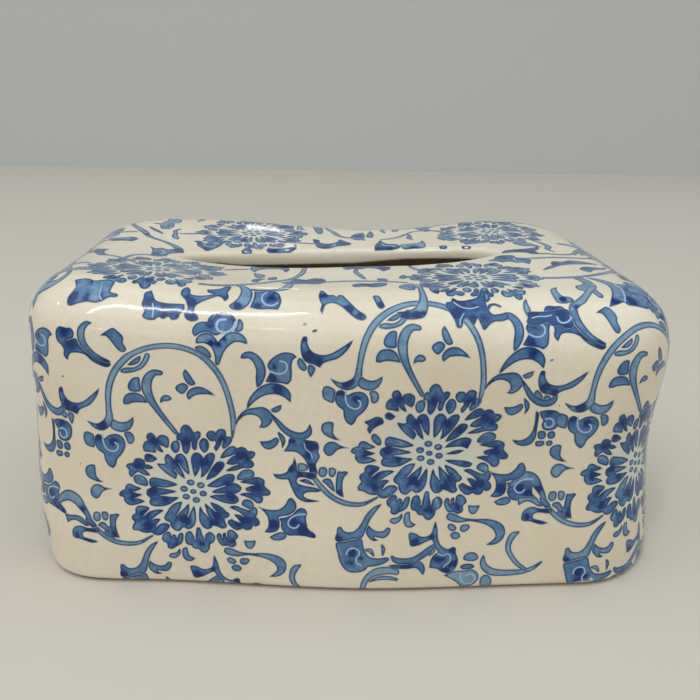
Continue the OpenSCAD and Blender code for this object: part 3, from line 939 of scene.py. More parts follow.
# The star at the left of the second flower, in the unit that has it
STAR = [
    patch(0.6, (-23.9, 57.3, 1), (-23.2, 54.8), (-22.7, 51.9), (-19.5, 51.3), (-16.3, 51), (-15.6, 49.6),
          (-17.2, 48.6), (-20, 49.3), (-22.6, 49), (-23, 47), (-21.3, 46), (-18.7, 45.5), (-15.8, 45),
          (-13.6, 44, 1), (-16, 43.5), (-18.2, 43.5), (-20.1, 42.8), (-20.6, 41.7), (-19.5, 40.7),
          (-17, 40.1), (-14.6, 39.7, 1), (-19.1, 39.3), (-21.5, 40), (-23.2, 41.4), (-24.4, 43.7),
          (-25.4, 46.1), (-26.3, 48.2), (-28.5, 48.2), (-30.7, 48.7), (-31.9, 50.2, 1), (-29.5, 50),
          (-26.8, 51), (-25.8, 53), (-24.4, 54.8)),
    dark(-25, 52.5, 1.8), dark(-18, 50, 2), dark(-21.8, 50.2, 1.5), dark(-17.5, 39.8, 1),
    brush(0.35, (-22, 47.9, 0.2), (-19.5, 47.7, 1.5), (-16.4, 46.2, 0.2)),
    patch(0.1, (-22.4, 54.6), (-20.6, 54.9), (-18.9, 53.8), (-19.2, 52.2), (-22.3, 52.1)),
]
# The folded leaf over the star
KNOT = [
    patch(0.45, (-27.7, 59.6, 1), (-26.2, 62), (-25.4, 65), (-22, 65), (-18.5, 64.2), (-15.6, 63.7),
          (-14.8, 61.4), (-15.2, 59.8), (-14.5, 58), (-15.2, 56.3), (-16, 54.4), (-15.4, 51.6),
          (-16.4, 49.4), (-17.8, 50.6), (-18.6, 53.6), (-19.8, 56.2), (-21.5, 58.4), (-23.6, 59.6)),
    reserve(0.4, (-20.3, 63.2), (-19.6, 60.8), (-17.8, 59.2), (-17.2, 57)),
    dark(-18.4, 62, 2.2), dark(-16.2, 61.8, 1.4), dark(-19.2, 58.2, 1.3), dark(-17.2, 53.4, 2.2),
    dark(-25, 64.6, 1.6),
]
# The bent horn that takes the leaf's place in the other units
HORN = [
    brush(0.3, (-30.6, 56.2, 0.8), (-27.6, 59.2, 3), (-24, 60.6, 4.4), (-20.9, 59, 4.2), (-19, 56, 3),
          (-17.4, 53, 2.2), (-16.2, 49.8, 1.4)),
    dark(-19, 55, 1.6),
]
# The fan cup, its long stem and its small leaves, under the second flower
CUP = [
    brush(0.1, (-17, 49.8, 1.6), (-14, 45.8, 1.9), (-10.5, 42.2, 2), (-6.5, 39.8, 2), (-2, 38.7, 1.8),
          (2.3, 39, 1.4), (7.3, 41.5, 0.6)),
    patch(0.2, (-14.8, 52), (-14.3, 53.3), (-12.8, 53.6), (-11.8, 52.8), (-11.8, 51), (-12.6, 49.8),
          (-14, 49.7), (-14.9, 50.8)),
    patch(0.2, (-10.9, 53.2), (-9.5, 53.4), (-8.4, 52.5), (-8.8, 50.5), (-9.6, 49.7), (-10.8, 50.2),
          (-11, 51.8)),
    patch(0.35, (-13.4, 48), (-12, 49), (-10.6, 48.8), (-9.6, 47.3), (-9, 45), (-8.8, 43.6, 1),
          (-10.5, 45.1), (-12, 46.7)),
    patch(0.45, (-3.9, 51.5), (-4.8, 52.1), (-6.3, 51.8), (-7.5, 52), (-7.9, 50.5), (-8.3, 48),
          (-8.3, 45.5), (-8.2, 43.5), (-7, 42.3), (-5.4, 41.6, 1), (-5.8, 43.8), (-6, 46), (-5.8, 48.5),
          (-5, 50.3)),
    dark(-6.8, 43.5, 1.3),
]
# In place of the star: bar leaves and a curl, drawn by the first flower
BARS = [
    patch(0.3, (-114.3, 30.3, 1), (-112, 30.1), (-109.5, 30.4), (-107.3, 30.1), (-105.5, 28.6),
          (-103.4, 26.6, 1), (-105.3, 26.4), (-107.5, 27.6), (-109.5, 28.4), (-111.5, 28),
          (-113.3, 26.7, 1)),
    patch(0.3, (-111.5, 21), (-111.3, 23.8), (-109.8, 25.4), (-107.3, 26), (-105, 25.4), (-102, 25.4),
          (-99.6, 25.6, 1), (-99.8, 24), (-101.5, 23.6), (-103.8, 23.9), (-106, 23.8), (-107.3, 22.7),
          (-106.8, 21.2), (-104.6, 20.6), (-102.5, 20.1), (-100.8, 19.5, 1), (-103.5, 19), (-106, 19.6),
          (-108.6, 20.3), (-110.6, 20.3)),
    dark(-103, 24.6, 2.4), dark(-105, 19.8, 2), dark(-109.5, 22, 1.4),
    patch(0.3, (-105.2, 29.8), (-103.2, 29.6), (-101.4, 27.9), (-100.6, 26.3), (-102.2, 25.9),
          (-104, 27.2)),
    patch(0.5, (-96.4, 26.3, 1), (-93.4, 26.4), (-92.8, 24), (-92.1, 21.7, 1), (-94.6, 21.7),
          (-97.6, 23.2)),
]
# By the first flower: the curved leaves and the spiral bud at the right of the arch, and below them
# the star bud, a scroll and pebbles
RIGHT_LEAVES = [
    patch(0.45, (-42.8, 95.8, 1), (-42.2, 97.5), (-40, 98.6), (-37.5, 97.8), (-35, 95), (-34, 91.5),
          (-34.5, 88.5), (-35.8, 86), (-37.2, 84.8, 1), (-37.5, 88), (-37.3, 91.5), (-38.3, 94.5),
          (-40, 96), (-41.5, 95.8)),
    patch(0.45, (-22.9, 97, 1), (-24.5, 98.2), (-27.5, 98.4), (-30.5, 97), (-32.7, 94.8), (-33.2, 93),
          (-32.2, 91.3), (-33, 89.3), (-34, 87.2, 1), (-31, 87), (-28.5, 87), (-26.3, 86.5, 1), (-25, 88),
          (-24.7, 91), (-24.8, 94), (-24.2, 96)),
    reserve(0.6, (-32.6, 91.4), (-30.2, 90.5), (-27.8, 90.7), (-26.5, 92), (-26.3, 93.8), (-27.2, 95),
            (-28.8, 95.2)),
    dark(-30.8, 93.6, 1.6), dark(-31, 88.7, 1.8),
    brush(0.5, (-41.3, 75.8, 0), (-39.5, 79.3, 1.8), (-36.6, 82.5, 3), (-33, 84.4, 4), (-29.4, 84.4, 4),
          (-26.6, 82.6, 3), (-25.2, 79.6, 0)),
    dark(-30, 84.5, 2),
    patch(0.5, (-46, 67.5, 1), (-45.2, 71), (-43, 74.5), (-41, 76, 1), (-38, 76.7), (-35, 77),
          (-32.7, 75.5), (-31.6, 73.3), (-32.5, 70.8), (-34.5, 69), (-36.7, 68.9, 1), (-35.8, 70.7),
          (-36.5, 72.8), (-39, 74), (-42, 73.5), (-44.5, 71)),
    brush(0.5, (-32.2, 74.2, 0.8), (-30, 71.5, 1.6), (-27.5, 68.5, 2.2), (-24.5, 66.5, 2.6), (-21, 66, 2.8),
          (-18.6, 67.6, 2.4), (-18.1, 70.9, 0)),
    patch(0.35, (-32.3, 76.3, 1), (-30.5, 77.4), (-28.5, 78.3, 1), (-29, 76.2), (-31.2, 75.2)),
    patch(0.5, (-37.9, 36.6, 1), (-35.5, 35.7), (-32.5, 35.3), (-29.5, 35.8), (-27.3, 37.8), (-26.2, 40),
          (-25, 40.6), (-23.6, 39), (-23.2, 37), (-24.3, 35), (-26.5, 33.6), (-28.5, 33.2),
          (-30.2, 32.6, 1), (-29.7, 30.5), (-29.8, 28.3), (-30.8, 26.8), (-33, 26), (-35.3, 26.1, 1),
          (-34, 28), (-33.7, 30.5), (-34.3, 33), (-36, 35.2)),
    patch(0.6, (-29.7, 32, 1), (-27, 32.6), (-24.5, 34), (-22.9, 35.8), (-21.5, 36.6), (-19.8, 36),
          (-19.2, 34.5), (-19.7, 33), (-19.3, 30), (-18.7, 28), (-16.5, 26.3), (-15.8, 24.9),
          (-16.7, 24.4, 1), (-18.5, 24.8), (-20.5, 25.2), (-23.5, 25.3), (-26.3, 25.2), (-28.3, 27),
          (-29, 28.8), (-28.9, 30.5)),
    reserve(0.6, (-19.8, 34.2), (-21.8, 34.1), (-24.3, 33.2), (-26, 31.5), (-26.3, 29.8), (-25, 28.4),
            (-23.2, 28.5), (-22.2, 29.7)),
    dark(-24, 30.6, 2), dark(-20.5, 27.5, 2.4), dark(-32, 29.5, 2.4), dark(-16.8, 25.3, 1.4),
    patch(0.3, (-33.4, 24, 1), (-31.5, 25.3), (-29.4, 26.2), (-27.6, 25.9), (-27, 24.8), (-28, 23.5),
          (-30, 22.8), (-32.2, 23)),
    patch(0.25, (-43.4, 21.9, 1), (-41, 21.8), (-39, 22.2, 1), (-39.2, 20.6), (-40.3, 18.8), (-41.4, 18.5),
          (-42.6, 19.4)),
    patch(0.3, (-51.2, 17), (-50.5, 18.3), (-48, 18), (-45, 16.7), (-40, 16.4), (-35, 16.7), (-31, 16),
          (-28.2, 14.2), (-27.2, 11.5), (-28, 8.5), (-30.5, 6.5), (-33.8, 6, 1), (-31.3, 8.2), (-30.6, 10),
          (-31.6, 12.2), (-34, 14), (-37, 15), (-42, 15.6), (-46, 14.8), (-49, 15.1), (-50.8, 15.9)),
    patch(0.25, (-50.2, 13), (-49.3, 14), (-47.5, 13.4), (-46.7, 12.2), (-47.5, 11.1), (-49.2, 11.4)),
    patch(0.25, (-44.6, 13.7), (-42.3, 14), (-41.5, 13.1), (-42.5, 11.5), (-44, 10.9), (-45.2, 12)),
    patch(0.25, (-48.6, 9.5), (-47.5, 10.6), (-45.8, 10.5), (-44.7, 9.2), (-45.5, 8), (-47.5, 7.9)),
]
# The long leaf, scroll and pebbles at the right of the second flower
RIGHT_SCROLL = [
    patch(0.55, (65.4, 75.8, 1), (66.6, 75), (66.6, 69), (66.5, 64.8), (65, 62.2), (62.2, 61.4),
          (59.4, 62.3), (57.8, 64, 1), (60.3, 63.6), (62.8, 64.3), (64.4, 65.9), (65.4, 68.6), (65.6, 72)),
    patch(0.6, (66.9, 75.6, 1), (70, 76.2), (73.5, 75.6), (75.1, 73.6), (74.9, 70.5), (73.6, 68.4),
          (71.5, 67.7), (69.3, 68.2), (68.4, 70), (68.8, 72), (67.7, 73.4)),
    reserve(0.6, (69.5, 72.4), (71, 72.8), (72.6, 71.6), (72.7, 69.8), (71.3, 68.9), (69.9, 69.5),
            (69.4, 70.8)),
    dark(70.8, 74.8, 1.6), dark(70.8, 70.8, 0.9),
    patch(0.5, (67.6, 67.3), (69.8, 67.2), (70.4, 65.5), (69.7, 64.2), (67.9, 64.3), (67.3, 65.8)),
    patch(0.5, (71.4, 66.8), (73.2, 67.2), (74, 65.8), (73.4, 64.3), (71.8, 64.4), (71.1, 65.5)),
    patch(0.4, (66.9, 62.9), (68.3, 63.2), (70, 63), (70, 61.6), (68.3, 61), (67, 61.4)),
    patch(0.4, (71, 62.8), (72.5, 63.3), (73.4, 62.4), (72.8, 61.3), (71.3, 61.4)),
]
# A small leaf and a stroke over the scroll
LEAF_PAIR = [
    patch(0.4, (53.2, 77.8, 1), (55.5, 77.6), (57.6, 78.1), (59.4, 79), (60.3, 78), (59.5, 76.2),
          (57.8, 74.9), (56.2, 74.4), (54.3, 75.4)),
    brush(0.4, (60.4, 81.2, 0.3), (61.5, 79, 1.7), (61.9, 77, 1.3), (61.2, 74.7, 0)),
]
# What grows under the second flower, down to the foot
BELOW = [
    patch(0.2, (12.4, 31.8), (13.2, 32.8), (15.5, 33.2), (17, 35, 1), (16.8, 33), (15.5, 31.4),
          (13.8, 30.8)),
    patch(0.25, (17.8, 33), (18.3, 34.8), (19.7, 35.3), (19.9, 33.5), (20.3, 31.5), (22.2, 30.1, 1),
          (20.5, 29.2), (18.8, 29.5), (17.9, 31)),
    patch(0.35, (8.9, 38.8, 1), (6, 37.3), (3.4, 34.4), (1.7, 31), (0, 28.4), (-2, 27.1), (-4.2, 27.1),
          (-5.6, 28), (-6.4, 29.3), (-7.4, 28.8), (-7.6, 26.8), (-8.3, 24.5), (-7.6, 23.3), (-5.3, 23.6),
          (-1, 24.7), (1.5, 24.9), (2.6, 27), (3.5, 29.6), (5.2, 33.5)),
    dark(-6.9, 24.6, 1.6),
    patch(0.4, (-7.9, 22.4), (-5.3, 22.9), (-1, 23.9), (1.6, 24.2), (2.2, 21.5), (3.2, 18.5), (5, 16.4),
          (8.3, 15.8), (11.9, 16.2), (12.3, 15.3), (10.2, 13.7), (7.2, 12.7), (4.3, 12.3), (3.2, 10.8),
          (0.7, 9.9), (-2.6, 9.9), (-4.8, 11.6), (-6.4, 14.8), (-7.3, 18.6)),
    reserve(0.6, (-4, 17.6), (-3.4, 19.6), (-1.4, 20.5), (0.5, 19.6), (0.9, 17.6), (-0.2, 16), (0.1, 14),
            (1.8, 12.8)),
    dark(-1.6, 17.6, 2), dark(-0.9, 21.6, 1.2), dark(-2.6, 14, 1.6), dark(1.5, 15.5, 1.2),
    patch(0.35, (4.3, 30, 1), (5.8, 28.3), (8, 27.4), (10.2, 27.7), (11.5, 29), (12.5, 28.6), (12, 26.6),
          (10.3, 25), (8.3, 25.2), (6.6, 25.6), (6.5, 24.7), (8, 23.8, 1), (6, 23.9), (4.3, 25.5),
          (3.5, 27.3)),
    brush(0.1, (3, 19.6, 0.2), (5, 19.5, 1.4), (6.6, 17, 0.3)),
    brush(0.1, (9.5, 22, 0.3), (10.2, 20, 1.2), (9.9, 17.2, 0.2)),
    brush(0.35, (13.4, 17, 0.5), (15, 15.2, 2), (18.5, 14.5, 2.3), (22, 15, 2.4), (25, 16.8, 2.4),
          (28, 19.3, 2.2), (30.3, 21.6, 0.8)),
    patch(0.35, (12.4, 12.6, 1), (15, 13), (18, 12.8), (21.3, 13.2), (23.4, 14.4), (25.4, 13.6), (26.6, 11),
          (26.1, 8.2, 1), (24.8, 10.2), (23.2, 11.6), (20, 11.3), (16, 11.5)),
    dark(19.5, 12.1, 2),
    patch(0.4, (29.9, 31.2, 1), (30.7, 28), (31.1, 24), (32.2, 21.3), (34, 19.7), (35.8, 19.2), (37, 20),
          (38.2, 19.8), (38.4, 17.5), (39.4, 14.8), (39.1, 12), (37.8, 9.8), (35.6, 8.8), (33.4, 9.6),
          (31.8, 10.9), (30.1, 11.3), (28.6, 11.5, 1), (29, 14.8), (30.1, 16.9), (31.8, 18.2), (30.6, 20),
          (29.9, 22), (28.8, 23.8), (26.3, 22.9), (23.6, 21.6), (20.9, 21.3), (20.3, 23.5), (20.1, 26.6),
          (22.5, 26.2), (24.4, 24.9), (26.9, 24.9), (28.6, 26), (29.3, 28)),
    dark(22.3, 23, 1.8), dark(28.7, 24.9, 1.2), dark(35, 9.8, 1.8), dark(38, 13, 1.8), dark(31, 15, 1.6),
    dark(37.2, 18.6, 1.4), dark(33.6, 14.3, 1.2),
    reserve(0.5, (31.4, 17.6), (33.5, 16.7), (35.4, 17.4), (36.6, 16.1), (36.2, 13.6), (34.7, 12.4),
            (33.9, 11.2)),
    brush(0.05, (28, 16.7, 0.2), (29.4, 18.8, 1.6), (30, 20.6, 0.2)),
    patch(0.05, (1.4, 1, 1), (2.5, 5.8), (4.4, 9), (7.4, 11.3), (10.5, 12), (13.5, 11.7), (16.3, 10.6),
          (16.2, 8.7), (13, 9), (10, 8.7), (6.7, 7.7), (4.3, 5), (3.3, 1, 1)),
    brush(0.1, (4.9, 5.2, 0), (8.3, 6.8, 1.3), (12.3, 7.1, 1.4), (15.7, 6.3, 1)),
    patch(0.05, (34.6, 7.6, 1), (37, 8.8), (40, 9.4), (42.5, 9.3), (45, 9.8), (47.3, 8.6), (48.2, 6),
          (46.8, 3.5), (44.5, 2.2), (42, 0.6, 1), (41, 3), (39, 5), (36.8, 6.5)),
    reserve(0.6, (41, 8.4), (41.3, 5.5), (43, 3.6), (45.3, 3.5), (46.8, 5), (46.5, 7), (45, 7.9),
            (43.4, 7.2)),
    patch(0.1, (49.3, 5.5), (50.5, 7), (52.5, 6.5), (53.6, 4), (52.8, 1), (50, 1), (49.2, 3.5)),
    patch(0.15, (41.9, 14.8), (42.5, 16.6), (44.5, 17.5), (46.5, 16.9), (47.6, 15.2), (46.5, 14.1),
          (44, 14)),
    patch(0.5, (40.8, 11.2), (42, 12.2), (45, 12.3), (46.2, 11.2), (45, 10.4), (42, 10.3)),
]
# Two thin stems at the foot that run on towards the next unit
TENDRILS = [
    brush(0.1, (49.7, 16, 0.4), (49.6, 13, 2), (50.8, 10.5, 2.6), (53.5, 8.6, 2.9), (57.5, 7.9, 2.5),
          (62, 7.9, 2.2), (66, 8.2, 1.8), (70, 9.6, 1.4), (73.5, 12.4, 0.4)),
    brush(0.1, (63.3, 25.6, 0.4), (60.9, 24.2, 2.2), (59.4, 21, 2), (59.4, 18.3, 1.8), (61, 15, 1.6),
          (63.5, 11.8, 1.5), (67, 9, 1.2)),
]


# The top sheet hangs over the front shoulder: these pieces are drawn on the wall's sheet

SHOULDER_LEFT = [
    patch(0.3, (-116, 125.3, 1), (-112, 127), (-107, 127.8), (-102, 127.5), (-97, 128.4), (-92, 129),
          (-89.5, 127.8), (-89.8, 125), (-90, 122.8), (-87.2, 121.8), (-87.4, 120.8), (-90, 120.6),
          (-92.5, 119), (-96, 118.3), (-100, 118.3), (-104, 117.2), (-107, 115.7), (-109, 115.6),
          (-110.5, 118), (-110, 121), (-110.6, 123)),
    dark(-107.8, 118.3, 2.6), dark(-101, 119.8, 2.2), dark(-93, 120.8, 1.6), dark(-103, 126, 1.2),
    reserve(0.6, (-95, 127), (-94.3, 124), (-94, 121), (-92.6, 119.6)),
    patch(0.7, (-77.8, 120.5), (-77.6, 122.8), (-75.5, 124, 1), (-74.6, 121.8), (-73.5, 119.5),
          (-70, 118.3), (-66, 118), (-63.2, 117.8, 1), (-63.1, 115.5), (-64.5, 113.8), (-65.2, 112),
          (-67.3, 111.5), (-68.6, 112.9), (-70.4, 111.9), (-72, 112.8), (-73.6, 111.6), (-76, 111.8),
          (-77.7, 113), (-77, 115.5), (-78.2, 117.5)),
    reserve(0.5, (-74.5, 118.2), (-74, 115.5), (-74.2, 112.5)),
    reserve(0.5, (-72.5, 115.6), (-69, 115.4), (-65.8, 115.6)),
    dark(-75.8, 118.8, 2), dark(-69.8, 112.8, 1.6), dark(-70, 117.3, 1.6), dark(-65.5, 113, 1),
    patch(0.5, (-62.3, 118.3), (-63, 120), (-64.8, 122.5), (-64.5, 125.3), (-63, 126.8, 1), (-61.8, 125.2),
          (-61.5, 122.8), (-59, 121.9), (-56, 122), (-53, 122.8), (-55.3, 124), (-55.6, 125.6, 1),
          (-53, 125.8), (-50.5, 126.8), (-49, 128.8), (-47.3, 128.5), (-47.6, 126), (-48.2, 123.7),
          (-47.6, 121), (-48.8, 119.2), (-50, 121), (-51.6, 121.8, 1), (-54, 120.6), (-57, 119),
          (-59, 117.3), (-59.6, 115), (-58.3, 113), (-57.9, 111.4), (-60, 110.7), (-62.3, 111.8),
          (-62.9, 114), (-61.8, 116)),
    dark(-60.7, 112.5, 2.2), dark(-60.5, 118.5, 1.8), dark(-49, 120.5, 1.1), dark(-62.5, 121.3, 1.4),
    patch(0.15, (-46.6, 131, 1), (-44.4, 128.8), (-43.4, 126), (-43.5, 123), (-44.2, 120.5), (-45.8, 118.4),
          (-47.1, 117), (-46.3, 115.6), (-43.8, 114.9), (-41.7, 115.7), (-40, 117.8), (-39.2, 121),
          (-39.3, 124.6), (-41, 128), (-43.8, 130.8)),
    dark(-44, 117, 2),
    patch(0.4, (-38.4, 124.7, 1), (-35, 124.6), (-32, 125), (-30, 123.8), (-29, 121.3), (-28.6, 118),
          (-29.6, 114.7, 1), (-33, 115.1), (-36.5, 115.1), (-39.6, 116, 1), (-38.9, 118.4), (-38.3, 121.4)),
    reserve(0.6, (-33.8, 124.2), (-35.4, 121.8), (-35.2, 118.6), (-33.6, 116.8), (-31.4, 116.5),
            (-29.9, 117.6)),
    dark(-32.2, 119.8, 1.9), dark(-36.8, 117, 1.6), dark(-31.6, 123, 1.2),
    patch(0.1, (-40.2, 126.9, 1), (-36.5, 126.3), (-32, 126.7), (-29, 128.4), (-27.8, 131.2), (-27, 134.5),
          (-24.8, 134.5), (-25.1, 129.5), (-26.8, 126.6), (-30.3, 125.3), (-35, 125.2), (-39, 125.6)),
    patch(0.3, (-14.6, 123.5), (-14, 125.9, 1), (-12.7, 124), (-11.6, 121.7), (-9.6, 121.6),
          (-8.6, 120.2, 1), (-7.6, 121.5), (-6.4, 121.4), (-5, 119), (-3, 116), (-1, 113.5), (1.5, 111.6),
          (1.8, 110.5), (0.3, 109.7), (-2, 110.5), (-4.5, 112.8), (-6.5, 115), (-8.5, 116.6),
          (-10.5, 117.2), (-12.5, 116.4), (-13.3, 114.5), (-13.8, 112.3, 1), (-14.4, 114), (-13.9, 116.5),
          (-14.5, 118.5), (-14.9, 121)),
    dark(-13.2, 121, 1.9), dark(-4.5, 114, 2.3), dark(-0.6, 111.2, 1.6),
    patch(0.1, (4.8, 120.3), (5.5, 121.3), (7, 120.7), (7.8, 118), (8.7, 115.4), (8.2, 114.6), (7, 114.2),
          (6, 115.5), (5.3, 118)),
    dark(7.2, 115.9, 1.4),
]
# Over the right half of the front, as far as the corner
SHOULDER_RIGHT = [
    patch(0.05, (20.4, 134, 1), (22, 130), (22.2, 125), (21.8, 120), (20.8, 116.7), (19.3, 114.4),
          (16.4, 113.2), (13, 112.7, 1), (13.6, 110.9), (16, 110.1), (20, 110.2), (22.6, 111), (24, 113.5),
          (24.6, 117), (24.4, 122), (24.2, 128), (24.7, 134, 1)),
    dark(16, 111.4, 2.2), dark(19.8, 111.2, 2.2), dark(22.6, 112.5, 1.2),
    patch(0.7, (30.9, 115.3), (31.4, 117.4), (33, 117.7), (33.9, 119.9, 1), (35.9, 118.3), (39, 118.6),
          (42.2, 119.8), (44, 121.4), (44.8, 124.4, 1), (46.9, 125, 1), (46.3, 121.5), (45.9, 118),
          (46.1, 115), (47.6, 112.4), (50.2, 112.5), (53, 113.1), (53.8, 110.9, 1), (51.2, 109.9),
          (48.6, 109.7), (46.6, 108.8), (45.1, 107.3), (44, 106.5), (43, 108.5), (42.1, 111, 1),
          (41.3, 109.6), (40.4, 108.2), (39.2, 109.4), (38.3, 111, 1), (37, 110.3), (35.9, 107.4),
          (34.4, 107.2), (33.5, 110), (32, 113)),
    dark(34.4, 112.5, 2.6), dark(40.2, 110.3, 1.6), dark(36.5, 116, 2.2), dark(44.7, 110.3, 1.7),
    dark(41.5, 115.5, 2),
    reserve(0.5, (33.8, 117.6), (36.5, 115.2), (40, 114.6), (43, 115.6)),
    reserve(0.4, (37.2, 112.6), (35.6, 110), (35.4, 108)),
    brush(0.2, (46.2, 114.8, 1.3), (47.5, 116.5, 1), (49.3, 116.8, 1), (51, 115.9, 0.8)),
    patch(0.1, (61.4, 120.3, 1), (60, 118), (59.6, 115), (60.2, 112.5), (61.2, 111, 1), (62, 113),
          (62, 115), (61.5, 117.5)),
    patch(0.9, (60.3, 113.4, 1), (63, 113.9), (66, 113.9), (69, 114.3), (72, 115), (75.5, 115.4),
          (76.5, 114), (76.2, 112), (77, 110), (77.4, 108.4), (76, 107.5, 1), (73.5, 107.6), (72, 108.6),
          (70.6, 108.2), (69, 108.6), (67.4, 109.8), (64.5, 108.6), (61, 108.4), (60, 109.6),
          (60.6, 111.5)),
    reserve(0.5, (62, 111.2), (64.5, 111.9), (67.5, 112), (69.6, 112.6)),
    reserve(0.7, (71.5, 111.8), (71.9, 110.2), (73.4, 109.5), (75.4, 110.1), (76.9, 111.7)),
    dark(63, 112.9, 2), dark(73, 113.4, 2.6), dark(74.6, 108.6, 1.5),
    patch(0.05, (90, 133, 1), (87.5, 130), (85.3, 126), (82.6, 122.4), (79.6, 119.4), (77.4, 117),
          (76.5, 114.8), (77.4, 113.8), (79.2, 115), (81, 117), (83.4, 118.8), (85.6, 121.8), (88, 125.5),
          (90.8, 129.5), (92.4, 132.6, 1)),
    patch(0.25, (84, 132.6, 1), (83.5, 129.8), (84.4, 127.8), (86.6, 127.4), (88.8, 129.6), (91.5, 131.6),
          (93, 135), (92.4, 138.6), (90.6, 142, 1), (86.4, 142, 1), (88, 139), (88.4, 136), (86.6, 134)),
    dark(79.8, 116.5, 1.6),
    patch(0.1, (75.8, 130.3, 1), (73, 128), (72.2, 125), (72.3, 121.5), (72.9, 118.8), (75, 118.3),
          (77.5, 118.8), (79.5, 119.9), (78.3, 122), (76.3, 122.3), (75.3, 123.5), (74.8, 126),
          (75.2, 128.5)),
    dark(75.5, 120.3, 1.6),
    patch(0.1, (89.2, 129.6), (88.7, 126), (89.5, 123), (90.8, 122), (91.7, 123.5), (91, 126.5),
          (90.4, 129.6)),
]

# The sheet on top, in plan, round the slot

